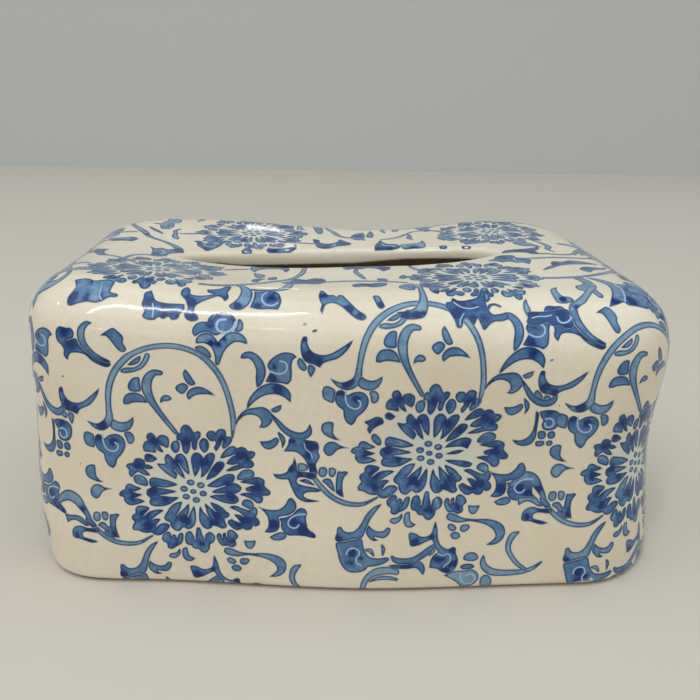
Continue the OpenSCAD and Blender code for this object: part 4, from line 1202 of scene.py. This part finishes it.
# Each flower's middle, turn and size
TOP_FLOWERS = ((-78, -37.5, 175, 0.96), (47.5, -44, 172, 0.96), (-47, 42.5, 5, 0.96), (71.5, 37, 20, 0.98))
TOP_VINES = [
    patch(0.3, (92.5, -69.5, 1), (94.2, -66), (96, -62), (97.3, -57), (97.6, -53), (96.4, -49),
          (94.6, -45.8), (92.6, -43, 1), (96.6, -44), (99.6, -47), (102, -50.3), (106, -50), (110, -51.5),
          (113, -54), (113.6, -58), (112, -62), (109, -64.6), (105, -66), (100.4, -67.2, 1), (99, -66.2),
          (96, -68)),
    reserve(0.7, (99.6, -65.8), (101, -61), (101.6, -56), (100.6, -51.5)),
    dark(95.6, -67, 2.4), dark(103, -64.2, 3), dark(105.5, -56, 3),
    brush(0.1, (106, -52.4, 2.4), (110, -50, 2.6), (113.5, -46.5, 2.4), (116, -42, 1.8), (117.5, -37, 1)),
    brush(0.1, (74.5, -45, 1.6), (80, -44.6, 1.8), (86, -43.2, 1.8), (92.5, -41, 2), (99, -37.4, 2),
          (105.5, -32.6, 2), (110.5, -26.5, 2), (114, -19.5, 2), (116, -12, 1.8), (116.6, -5, 1.4)),
    patch(0.5, (77.5, -33.6, 1), (82.5, -30), (86.3, -26.2), (91, -23.4), (96.6, -21.6), (101.6, -20.6),
          (106, -19.4, 1), (101.6, -17.6), (96.8, -16), (93.4, -16.8), (90.6, -19), (86.6, -19, 1),
          (84.6, -21.6), (84.2, -25), (80.8, -29)),
    dark(86, -22.5, 2), dark(92.5, -18.5, 2),
    patch(0.4, (94.6, -29.6), (97, -26.2), (100.6, -25.4), (104.6, -25.6), (108, -24, 1), (106, -27.4),
          (102, -29.2), (99.4, -31), (97.6, -33.8), (95.6, -32.6)),
    dark(98.6, -28.4, 1.8),
    brush(0.1, (73, -15.6, 2), (80, -14.4, 1.6), (88, -12.2, 1.6), (96, -11, 1.6), (104, -9.6, 1.6),
          (111, -6, 1.5), (115.6, 1, 1.2)),
    patch(0.5, (58.4, -18.2), (61.4, -15.6), (63.4, -11.6), (67, -9.6), (71, -10.2), (71.6, -13.6),
          (74.4, -14.4), (77, -17.4), (76, -20.4), (74.6, -24.2, 1), (72, -21.6), (69.6, -22, 1),
          (66.6, -19.8), (63.8, -21, 1), (61.4, -18.6)),
    reserve(0.6, (70.6, -14.4), (69.8, -17), (71.4, -19.2), (73.6, -19)), dark(66, -13.6, 2.2),
    dark(73.6, -17.4, 1.6),
    patch(0.7, (67.6, -5.6), (69.6, -1.8), (73.6, 0), (78, 1.2), (82.6, 3.2), (87.4, 7, 1), (86, 2),
          (83.2, -1.6), (84, -5.6), (80.6, -7.6, 1), (78.4, -5), (73.4, -4.4)),
    dark(75.6, -2.4, 2.6), dark(81.6, -4, 1.8),
    brush(0.1, (81.6, -7.4, 0.6), (87, -5.8, 1.5), (94, -6, 1.5), (100, -3.2, 1.6), (104.4, 3, 1.8),
          (108.6, 10, 2.4), (112.6, 17.6, 1.2)),
    patch(0.4, (100.4, -5.6, 1), (101.6, 0), (104, 5.2), (107.6, 9.6), (110.4, 15.6), (111, 8.6),
          (107.6, 3.2), (103.4, -1)),
    brush(0.2, (88, 20, 0.8), (91.6, 14.4, 2.4), (92.6, 8.4, 3), (90.6, 3, 1.8), (92.6, -1.6, 0.4)),
    patch(0.3, (77, 13), (80.2, 14.6), (84.4, 13.2), (87.6, 9.6), (88.6, 6.2, 1), (84.6, 7.6), (81, 6.8),
          (78.4, 9)),
    brush(0.1, (42, 50.6, 0.8), (46.6, 47, 1.6), (49, 42, 2), (48.2, 37, 1.8), (46.2, 32.6, 2.4),
          (46.6, 28, 1)),
    patch(0.4, (44.6, 31.6), (46.8, 33.6), (50.4, 32), (51.8, 28), (50, 25.2), (47, 26.2), (45, 28.4)),
    patch(0.3, (36.6, 62, 1), (37.6, 56), (39.6, 51), (41.6, 47.6), (43.6, 50), (43, 55), (41.6, 60.6)),
    brush(0.1, (20, 61, 1.4), (19.6, 56, 2), (20.2, 51, 1.2)),
    brush(0.15, (17, 35.6, 0.8), (22, 37, 1.6), (27, 40.4, 1.8), (31, 46, 1.6), (35.4, 50.4, 1.4),
          (41.4, 50.6, 0.8)),
    brush(0.3, (31.4, 45, 0.6), (32, 40.6, 1.8), (31, 36, 2.2), (32.6, 32.6, 0.6)),
    patch(0.8, (12.6, 17.2, 1), (13.2, 23), (14.8, 28.6), (16.8, 34.4, 1), (17.6, 29.4), (19.4, 26),
          (23, 24.6), (24.6, 21.4), (24.2, 17.4), (20.4, 16.6), (16, 16.6)),
    reserve(0.7, (16.6, 26), (17.6, 22.6), (20.6, 21.6), (22, 19.4)),
    dark(14.4, 19.4, 2.4), dark(19.6, 18.6, 2.2),
    patch(0.2, (25.6, 22.6), (30, 24), (34.6, 24.6), (36.4, 28.6, 1), (37, 23.6), (36.6, 18.4),
          (35.6, 15.2), (30.6, 15.6), (25.8, 16.6)),
    dark(31, 16.8, 2.4), dark(35, 26, 1.4),
    patch(0.6, (42.6, 14.6), (44.6, 15.4), (46, 13.2), (45.2, 11.4), (43, 12.4)),
    patch(0.7, (52.6, 10.6), (55, 11), (56.4, 8.6), (54.6, 7.2), (52.8, 8.6)),
    patch(0.5, (2.6, 39.4), (3.4, 44.6), (6, 49), (9.2, 51, 1), (9.6, 45.6), (9.2, 40.6), (8, 36.4),
          (5, 35.4)),
    dark(5.6, 43.6, 2.4),
    patch(0.5, (10.6, 41.4), (11, 47), (12.4, 51.6), (13.4, 55.6, 1), (14.2, 49), (13.8, 43), (12.6, 40.2)),
    brush(0.1, (8.6, 35.6, 2), (5, 38, 1.6), (1, 40, 1.6), (-2.6, 42.6, 2), (-4.6, 47, 2.6),
          (-6.2, 51.6, 2.4), (-8.4, 56.6, 1.8), (-9.6, 62, 1.2)),
    patch(0.4, (-16.4, 62.6, 1), (-15.6, 56.4), (-14.6, 50), (-13, 46.4), (-11.6, 49.6), (-11.4, 55),
          (-12, 62, 1)),
    patch(0.7, (-14.4, 22.4), (-11.6, 20), (-8, 20.6), (-5.6, 23.4), (-2.6, 24.2), (1, 26), (1.8, 29.4),
          (-0.6, 32.6), (-3.2, 37, 1), (-4.6, 32), (-7, 29.2), (-10.6, 28.6), (-13, 30.4), (-13.6, 35),
          (-16.4, 36.6, 1), (-16, 31), (-15, 26.6)),
    reserve(0.6, (-6.4, 28.4), (-5.8, 25.6), (-7.6, 23.4)), dark(-10.4, 22.6, 2.2), dark(-2, 28, 2.2),
    dark(-15, 33, 1.6),
    brush(0.1, (-26, 30, 0.6), (-22, 29.4, 1.4), (-17, 28.6, 1.6), (-14, 28.6, 1)),
    patch(0.4, (-21.6, 47.6), (-19.6, 47.6), (-19.2, 44.6), (-20.6, 43), (-21.8, 45)),
    patch(0.2, (-24.4, 44), (-22.2, 44.4), (-21.4, 41), (-22.4, 37.6, 1), (-24, 40)),
    patch(0.3, (-37.4, 21.4, 1), (-37.8, 16), (-33.6, 15.8), (-28.6, 16.4), (-25.6, 18), (-24.2, 21.4),
          (-24.8, 27.4, 1), (-26.4, 23.6), (-29, 20.8), (-33, 19.8), (-36, 19.6)),
    dark(-25.6, 20.6, 2), dark(-35, 17.6, 2),
    patch(0.4, (-49.4, 13.4), (-48.6, 17), (-47, 20.6, 1), (-45.6, 17), (-45, 13.8), (-47, 13)),
    patch(0.6, (-72.4, 23.6, 1), (-70.6, 20.4), (-70, 16.6), (-67.6, 13.4), (-65, 9.6), (-62.4, 13.6),
          (-60.4, 18), (-59, 23.6, 1), (-62.4, 22), (-65, 24.6, 1), (-67, 21), (-70, 24.4)),
    reserve(0.6, (-67.6, 20), (-66, 16.6), (-63.4, 16.4), (-62, 19)), dark(-65, 12.6, 2.2),
    dark(-71, 20, 1.6),
    brush(0.2, (-81.6, 42, 0.8), (-83.6, 38.6, 1.6), (-82.8, 34.6, 2), (-82.6, 30, 2.4), (-81.4, 26.6, 2.8),
          (-80.4, 24.4, 0.6)),
    brush(0.15, (-113, 35.6, 1), (-107, 34, 1.6), (-101.6, 34.2, 1.2)),
    brush(0.1, (-80.6, 34, 0.8), (-75, 35, 1.4), (-70.4, 37, 1)),
    brush(0.3, (-90.6, 62, 0.6), (-88.8, 56, 2.6), (-87.6, 50, 3), (-86.2, 44.6, 1)),
    brush(0.5, (-97, 53, 0.4), (-94, 52, 1.4), (-92, 49.4, 0.6)),
    brush(0.5, (-97.6, 45.6, 0.2), (-95, 41.4, 1.6), (-92, 37, 2), (-88.8, 32.6, 0.6)),
    brush(0.15, (-108.6, 59, 0.8), (-107, 52, 1.8), (-104, 45.6, 2.2), (-100.6, 39.6, 2.8), (-97.4, 34, 3),
          (-94.8, 28, 2.2), (-91, 23, 1.8), (-85.4, 18.4, 1.8), (-80.6, 13.4, 2.4), (-77.4, 8.6, 3.2),
          (-75, 4, 1)),
    dark(-95.5, 29.5, 1.8), dark(-76.6, 7, 2.2),
    patch(0.7, (-111.6, 23), (-108, 21.6), (-104, 22), (-101, 23.6), (-98, 20.4), (-99.6, 15.4, 1),
          (-103.4, 16), (-107.6, 15.2), (-110.4, 18.4)),
    dark(-106, 18, 2.4),
    patch(0.4, (-89.8, 7.6, 1), (-87, 5), (-84.6, 7, 1), (-81.6, 5), (-78.4, 7.6), (-75.6, 7), (-74.4, 2.8),
          (-77, 0.6), (-79.8, -2.6), (-80.6, -7.6), (-83.6, -10), (-86.4, -7.4), (-87, -2), (-88, 3)),
    reserve(0.6, (-84, 3.4), (-82, -0.4), (-83, -4.4)), dark(-77, 4.6, 2), dark(-84.6, -5, 2),
    brush(0.1, (-83.6, -9.4, 1.6), (-89, -8.6, 1.8), (-93.4, -12, 1.8), (-95, -18, 1.6), (-97, -23, 0.8)),
    patch(0.5, (-112, 1.6, 1), (-109.4, -1.4), (-105.6, -2.4, 1), (-106.4, -6.6), (-105.4, -11),
          (-102, -16, 1), (-106.4, -15.4), (-109, -10.4), (-111.6, -6)),
    dark(-110, -5, 1.8),
    brush(0.1, (-103, -14.6, 1), (-99, -17, 1.6), (-94.4, -20.6, 1.6), (-91, -25, 0.8)),
    brush(0.2, (-121, -48, 1), (-118.6, -52.6, 3), (-114.6, -56, 4), (-110.6, -56.4, 3), (-108.6, -52, 1.6),
          (-109.4, -45.6, 1.4), (-112, -38, 1.6), (-114, -30, 1.4), (-114.6, -22, 0.8)),
    brush(0.1, (-59, -57.6, 1.2), (-52, -58, 1.6), (-46, -56.6, 1.6), (-39, -53.4, 1.8),
          (-32.4, -48.6, 1.8), (-26, -43.4, 2), (-22.4, -37, 2), (-20.8, -30, 2), (-20, -21, 1.4)),
    patch(0.4, (-42.4, -21, 1), (-42.6, -26), (-40.6, -31, 1), (-38.6, -26.6), (-34, -25), (-29.6, -26.2),
          (-28, -31, 1), (-26.6, -26.4), (-27.4, -21.6, 1), (-34, -20.6)),
    dark(-38, -22.6, 2.2), dark(-28.6, -27, 1.4),
    brush(0.1, (-53, -28.6, 0.8), (-48.6, -27, 1.8), (-44, -26, 1.2)),
    patch(0.3, (-40.6, -33, 1), (-37, -35.4), (-36, -39), (-38.4, -41.6), (-40, -38)),
    patch(0.7, (-40.2, -49.4), (-38.4, -50), (-37.4, -46), (-35.4, -42.6, 1), (-38.6, -43.4), (-40.4, -46)),
    patch(0.6, (-34.6, -43.6), (-33, -45), (-31, -43), (-31.6, -39.6, 1), (-34, -41)),
    patch(0.6, (-29.4, -50.4, 1), (-25.6, -47), (-23.6, -42.6), (-20, -44.4), (-16, -42), (-12.6, -43.6),
          (-12.4, -48.6), (-15.6, -52), (-20, -51.4), (-24.6, -52.6)),
    dark(-21, -47, 2.4), dark(-15, -46.4, 2),
    brush(0.1, (-12, -48.4, 1), (-5, -47, 1.6), (3, -47, 1.6), (11, -48, 1.6), (19, -50, 1.2)),
    patch(0.7, (-2, -53.6), (1, -51), (5, -51.6), (8, -50.2), (11.4, -51), (10.4, -54.6), (6.4, -57.4),
          (2.4, -56), (-1, -57)),
    dark(4, -54, 2.4),
    patch(0.6, (-4.6, -23.4, 1), (0, -23), (6, -23.2), (12, -23.6), (15.6, -24.6, 1), (14.6, -28.6),
          (12, -31.4, 1), (9.6, -27.4), (5.6, -26.4), (2.4, -28.6, 1), (0, -27.4), (-3, -28.6)),
    dark(0.6, -25, 2.2), dark(12.6, -26, 2),
    brush(0.15, (1, -28, 1), (0.6, -33, 1.8), (2, -38, 2), (3.4, -43, 1.2)),
    patch(0.5, (9, -43), (11.6, -43.6), (12, -46.4), (10, -47), (8.4, -45.4)),
    patch(0.5, (17.6, -40.6), (19.4, -38), (20.6, -41), (19, -43.6), (17.4, -42.8)),
    brush(0.15, (24, -22, 1), (24.6, -26, 2), (26.4, -29.4, 2), (29, -31.4, 0.8)),
    patch(0.3, (15.4, -57.4), (17.6, -53.6), (21, -52), (21.6, -57), (20.4, -61.4), (17.4, -60.6)),
    patch(0.3, (26.8, -58), (29, -58.2), (30, -61.4), (29, -65), (27.2, -63.4)),
    dark(28.8, -63.6, 1.6),
]


# The wall's sheet repeats one unit, which is placed here by the second flower

HUB = (25.8, 59.2)
# The shift and turn that carry what is drawn by the first flower to the second
FIRST_TO_SECOND = (87.9, 17.2, -5.6)
# How the unit with the star sets its flower, arch and two left leaves, by shift, turn and size
STAR_FLOWER = (0.7, 0.4, 0, 1.04)
STAR_ARCH = (0, -1.3)
STAR_DROPS = (1.2, -0.9)
# How far outlines are moved outwards, how much petals are deepened and how far prints stand proud
GROWTH = {
    "petals": 0.36, "broken petals": 0.2, "vine": 0.2, "foot": 0.3, "shoulder": 0.15, "top petals": 0.25,
    "top vine": 0.2,
}
WASH = {"petals": 0.1, "top petals": -0.12}
LIFT = {"wall": 0.06, "shoulder": 0.12, "top flower": 0.07, "top vine": 0.08}
# The wall's prints are cut along two level lines, from one end of the sheet to the other
CUT_BELOW = 1.6
CUT_ABOVE = 127
SHEET_START, SHEET_END, CUT_PITCH = -320, 600, 10
foot_line = np.array([(u, CUT_BELOW) for u in np.arange(SHEET_START, SHEET_END + 1, CUT_PITCH)], float)
crown_line = foot_line + (0, CUT_ABOVE - CUT_BELOW)


def from_first(shapes):
    return moved(shapes, *FIRST_TO_SECOND, about=FLOWER_CENTRE)


def washed(shapes, by):
    """The same shapes with a deeper or a paler wash."""
    return [[line, tone + by, layer] for line, tone, layer in shapes]


def unit(below, scroll=RIGHT_SCROLL, star=False):
    """The flower, the vine and what is below them, with the parts that differ from unit to unit."""
    petals = INNER_PETALS + OUTER_PETALS
    if not star:
        petals = petals + RIGHT_PETAL + UPPER_LEFT_PETALS
    petals = washed(grown(petals, GROWTH["petals"]), WASH["petals"])
    flower = from_first(HAZE + SEEDS + FLOWER_POOLS + petals)
    drops = from_first(DROPS)
    if star:
        flower = moved(flower, *STAR_FLOWER, about=HUB) + grown(BROKEN, GROWTH["broken petals"])
        vine = moved(from_first(ARCH), *STAR_ARCH) + STAR + KNOT
        drops = moved(drops, *STAR_DROPS)
    else:
        vine = from_first(ARCH + CLOUD + BARS + TRUMPET) + HORN
    vine += OVER_FLOWER + LEFT_BUDS + CUP + scroll + LEAF_PAIR + drops + from_first(RIGHT_LEAVES)
    return {"flower": flower, "vine": grown(vine, GROWTH["vine"]), "foot": grown(below, GROWTH["foot"])}


PLAIN_UNIT = unit(BELOW + TENDRILS)
# Each part of the wall has a unit and the places where it is set, by shift and turn; the unit to the left
# of the star has no scroll, as the star takes its place
UNITS = {
    "left": (unit(BELOW), [(-184, -7, 0)]),
    "front_left": (unit(BELOW + TENDRILS, scroll=[]), [(-87.9, -17.2, 5.6)]),
    "front": (unit(BELOW + TENDRILS, star=True), [(0, 0, 0)]),
    "front_right": (PLAIN_UNIT, [(88.4, -9.6, 3)]),
    "right": (PLAIN_UNIT, [(171.4, 1, 3), (254.3, -14, -4)]),
    "back": (PLAIN_UNIT, [(337.3, -3, 5), (420.2, -16, -2), (503.2, 0, 4)]),
}


def between_cuts(_, height):
    return CUT_BELOW < height < CUT_ABOVE


def print_wall():
    for side, (groups, placements) in UNITS.items():
        for group, shapes in groups.items():
            sheet = Print(wall_ray, LIFT["wall"], [foot_line, crown_line], between_cuts)
            for dx, dy, turn in placements:
                sheet.add(moved(shapes, dx, dy, turn, about=HUB))
            sheet.finish(f"{group}_print_{side}")


# What hangs over the shoulder, with the shifts along the wall at which it is repeated
SHOULDER_PARTS = ((SHOULDER_LEFT, (0, 235, 385)), (SHOULDER_RIGHT, (-235, 0, 385)))
# Specks of blue by place and size, and their tone
SPECKS = ((-20, 108.5, 0.6), (-16.5, 106, 0.9), (-110.5, 86.5, 0.6), (69, 96, 0.7), (74, 78, 0.5))
SPECK_TONE = 2


def speck(x, y, size):
    return brush(SPECK_TONE, (x - size / 2, y, size), (x + size / 2, y + size / 3, size))


def print_shoulder():
    sheet = Print(wall_ray, LIFT["shoulder"])
    for parts, shifts in SHOULDER_PARTS:
        for dx in shifts:
            sheet.add(moved(grown(parts, GROWTH["shoulder"]), dx, 0))
    sheet.add([speck(*place) for place in SPECKS])
    sheet.finish("shoulder_print")


# The prints on top stop at a lens this much longer and wider than half the slot
LENS_STEPS = 120
LENS_LONGER, LENS_WIDER = 3, 2.2
LENS_POWER = 1.15
# A top flower's pools reach this share of a wall flower's
TOP_POOL_SHARE = 0.7


def slot_lens():
    places = []
    for k in range(LENS_STEPS + 1):
        turn = 2 * math.pi * k / LENS_STEPS
        half = (SLOT_HALF_W + LENS_WIDER) * abs(math.sin(turn)) ** LENS_POWER
        x = SLOT_X + (SLOT_HALF_L + LENS_LONGER) * math.cos(turn)
        places.append((x, SLOT_Y + math.copysign(half, math.sin(turn))))
    return np.array(places, float)


lens = slot_lens()


def off_slot(x, y):
    return not inside(np.array([(x, y)]), lens)[0]


def print_top():
    cx, cy = FLOWER_CENTRE
    petals = INNER_PETALS + RIGHT_PETAL + OUTER_PETALS + UPPER_LEFT_PETALS
    petals = washed(grown(petals, GROWTH["top petals"]), WASH["top petals"])
    pools = [[line, reach * TOP_POOL_SHARE, layer] for line, reach, layer in FLOWER_POOLS]
    for number, (x, y, turn, size) in enumerate(TOP_FLOWERS, 1):
        sheet = Print(top_ray, LIFT["top flower"], [lens], off_slot)
        sheet.add(moved(HAZE + SEEDS + petals + pools, x - cx, y - cy, turn, size, about=FLOWER_CENTRE))
        sheet.finish(f"top_flower_{number}")
    sheet = Print(top_ray, LIFT["top vine"], [lens], off_slot)
    sheet.add(grown(TOP_VINES, GROWTH["top vine"]))
    sheet.finish("top_vine_print")


print_wall()
print_shoulder()
print_top()


# The strips keep their own solids

for name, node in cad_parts.items():
    if name.startswith("strip_"):
        node.data.materials.clear()
        node.data.materials.append(rubber)


# Floor, backdrop and light, in metres

FLOOR_COLOUR = colour(201, 188, 172)
BACKDROP_COLOUR = colour(201, 197, 190)
CLOUD_COLOUR = colour(200, 196, 190)
STAGE_SIZE = 6
BACKDROP_PLACE = (0, 1.6, 1.5)
# The dome's light grows between these heights, from the first strength to the second
DOME_FROM, DOME_TO = -0.1, 1
DOME_LOW, DOME_HIGH = 0.28, 1.52
DOME_TINT = (0.78, 0.91, 1.0, 1)


def make_plain(name, plain):
    finish = Finish(name, Roughness=0.9)
    cloud = finish.noise(scale=3)
    finish.feed("Base Color", finish.blend(cloud * 0.05, plain, CLOUD_COLOUR))
    return finish.material


def add_stage():
    bpy.ops.object.select_all(action="DESELECT")
    bpy.ops.mesh.primitive_plane_add(size=STAGE_SIZE)
    floor = bpy.context.object
    floor.name = "floor"
    floor.data.materials.append(make_plain("pale_floor", FLOOR_COLOUR))
    upright = (math.pi / 2, 0, 0)
    bpy.ops.mesh.primitive_plane_add(size=STAGE_SIZE, location=BACKDROP_PLACE, rotation=upright)
    wall = bpy.context.object
    wall.name = "backdrop"
    wall.data.materials.append(make_plain("pale_wall", BACKDROP_COLOUR))


def add_lamp(name, place, target, width, height, power, tint=(1, 1, 1)):
    data = bpy.data.lights.new(name, "AREA")
    data.shape = "RECTANGLE"
    data.size = width
    data.size_y = height
    data.energy = power
    data.color = tint
    lamp = bpy.data.objects.new(name, data)
    lamp.location = place
    lamp.rotation_euler = (Vector(target) - Vector(place)).to_track_quat("-Z", "Y").to_euler()
    bpy.context.scene.collection.objects.link(lamp)


def add_tube(name, start, end, width, power):
    """A long thin lamp that shines straight down."""
    start, end = Vector(start), Vector(end)
    along, middle = end - start, (start + end) / 2
    add_lamp(name, middle, middle - Vector((0, 0, 1)), along.length, width, power)
    bpy.data.objects[name].rotation_euler = (0, 0, math.atan2(along.y, along.x))


def add_world():
    """A soft dome of light, brightest overhead."""
    world = bpy.data.worlds.new("studio")
    world.use_nodes = True
    nodes, links = world.node_tree.nodes, world.node_tree.links
    place = nodes.new("ShaderNodeTexCoord")
    parts = nodes.new("ShaderNodeSeparateXYZ")
    links.new(place.outputs["Generated"], parts.inputs[0])
    rise = nodes.new("ShaderNodeMapRange")
    limits = {"From Min": DOME_FROM, "From Max": DOME_TO, "To Min": DOME_LOW, "To Max": DOME_HIGH}
    for socket, value in limits.items():
        rise.inputs[socket].default_value = value
    links.new(parts.outputs["Z"], rise.inputs[0])
    background = nodes["Background"]
    background.inputs["Color"].default_value = DOME_TINT
    links.new(rise.outputs[0], background.inputs["Strength"])
    bpy.context.scene.world = world


add_stage()
add_world()
# Each lamp's place, target, width, height, power in watts and tint; the tube's two ends, width and power
add_lamp("wide_panel", (-0.4, -1.2, 2.0), (0, 0, 0.06), 2.4, 1.6, 9.5, (1, 0.9, 0.8))
add_tube("ceiling_tube", (-0.9, -1.6, 1.5), (-0.16, -0.3, 1.5), 0.03, 5)
add_lamp("left_window", (-1.27, -0.3, 1.04), (-0.11, -0.06, 0.11), 0.12, 0.05, 0.4)
add_lamp("low_window", (-0.53, -1.34, 0.4), (-0.08, -0.07, 0.11), 0.04, 0.08, 0.1, (1, 0.9, 0.75))
add_lamp("small_window", (-0.337, -1.1, 1.0), (-0.032, -0.07, 0.11), 0.05, 0.05, 0.06, (1, 0.92, 0.8))
add_lamp("back_window", (-0.09, 1.45, 0.68), (-0.04, 0.05, 0.12), 0.08, 0.03, 0.05)
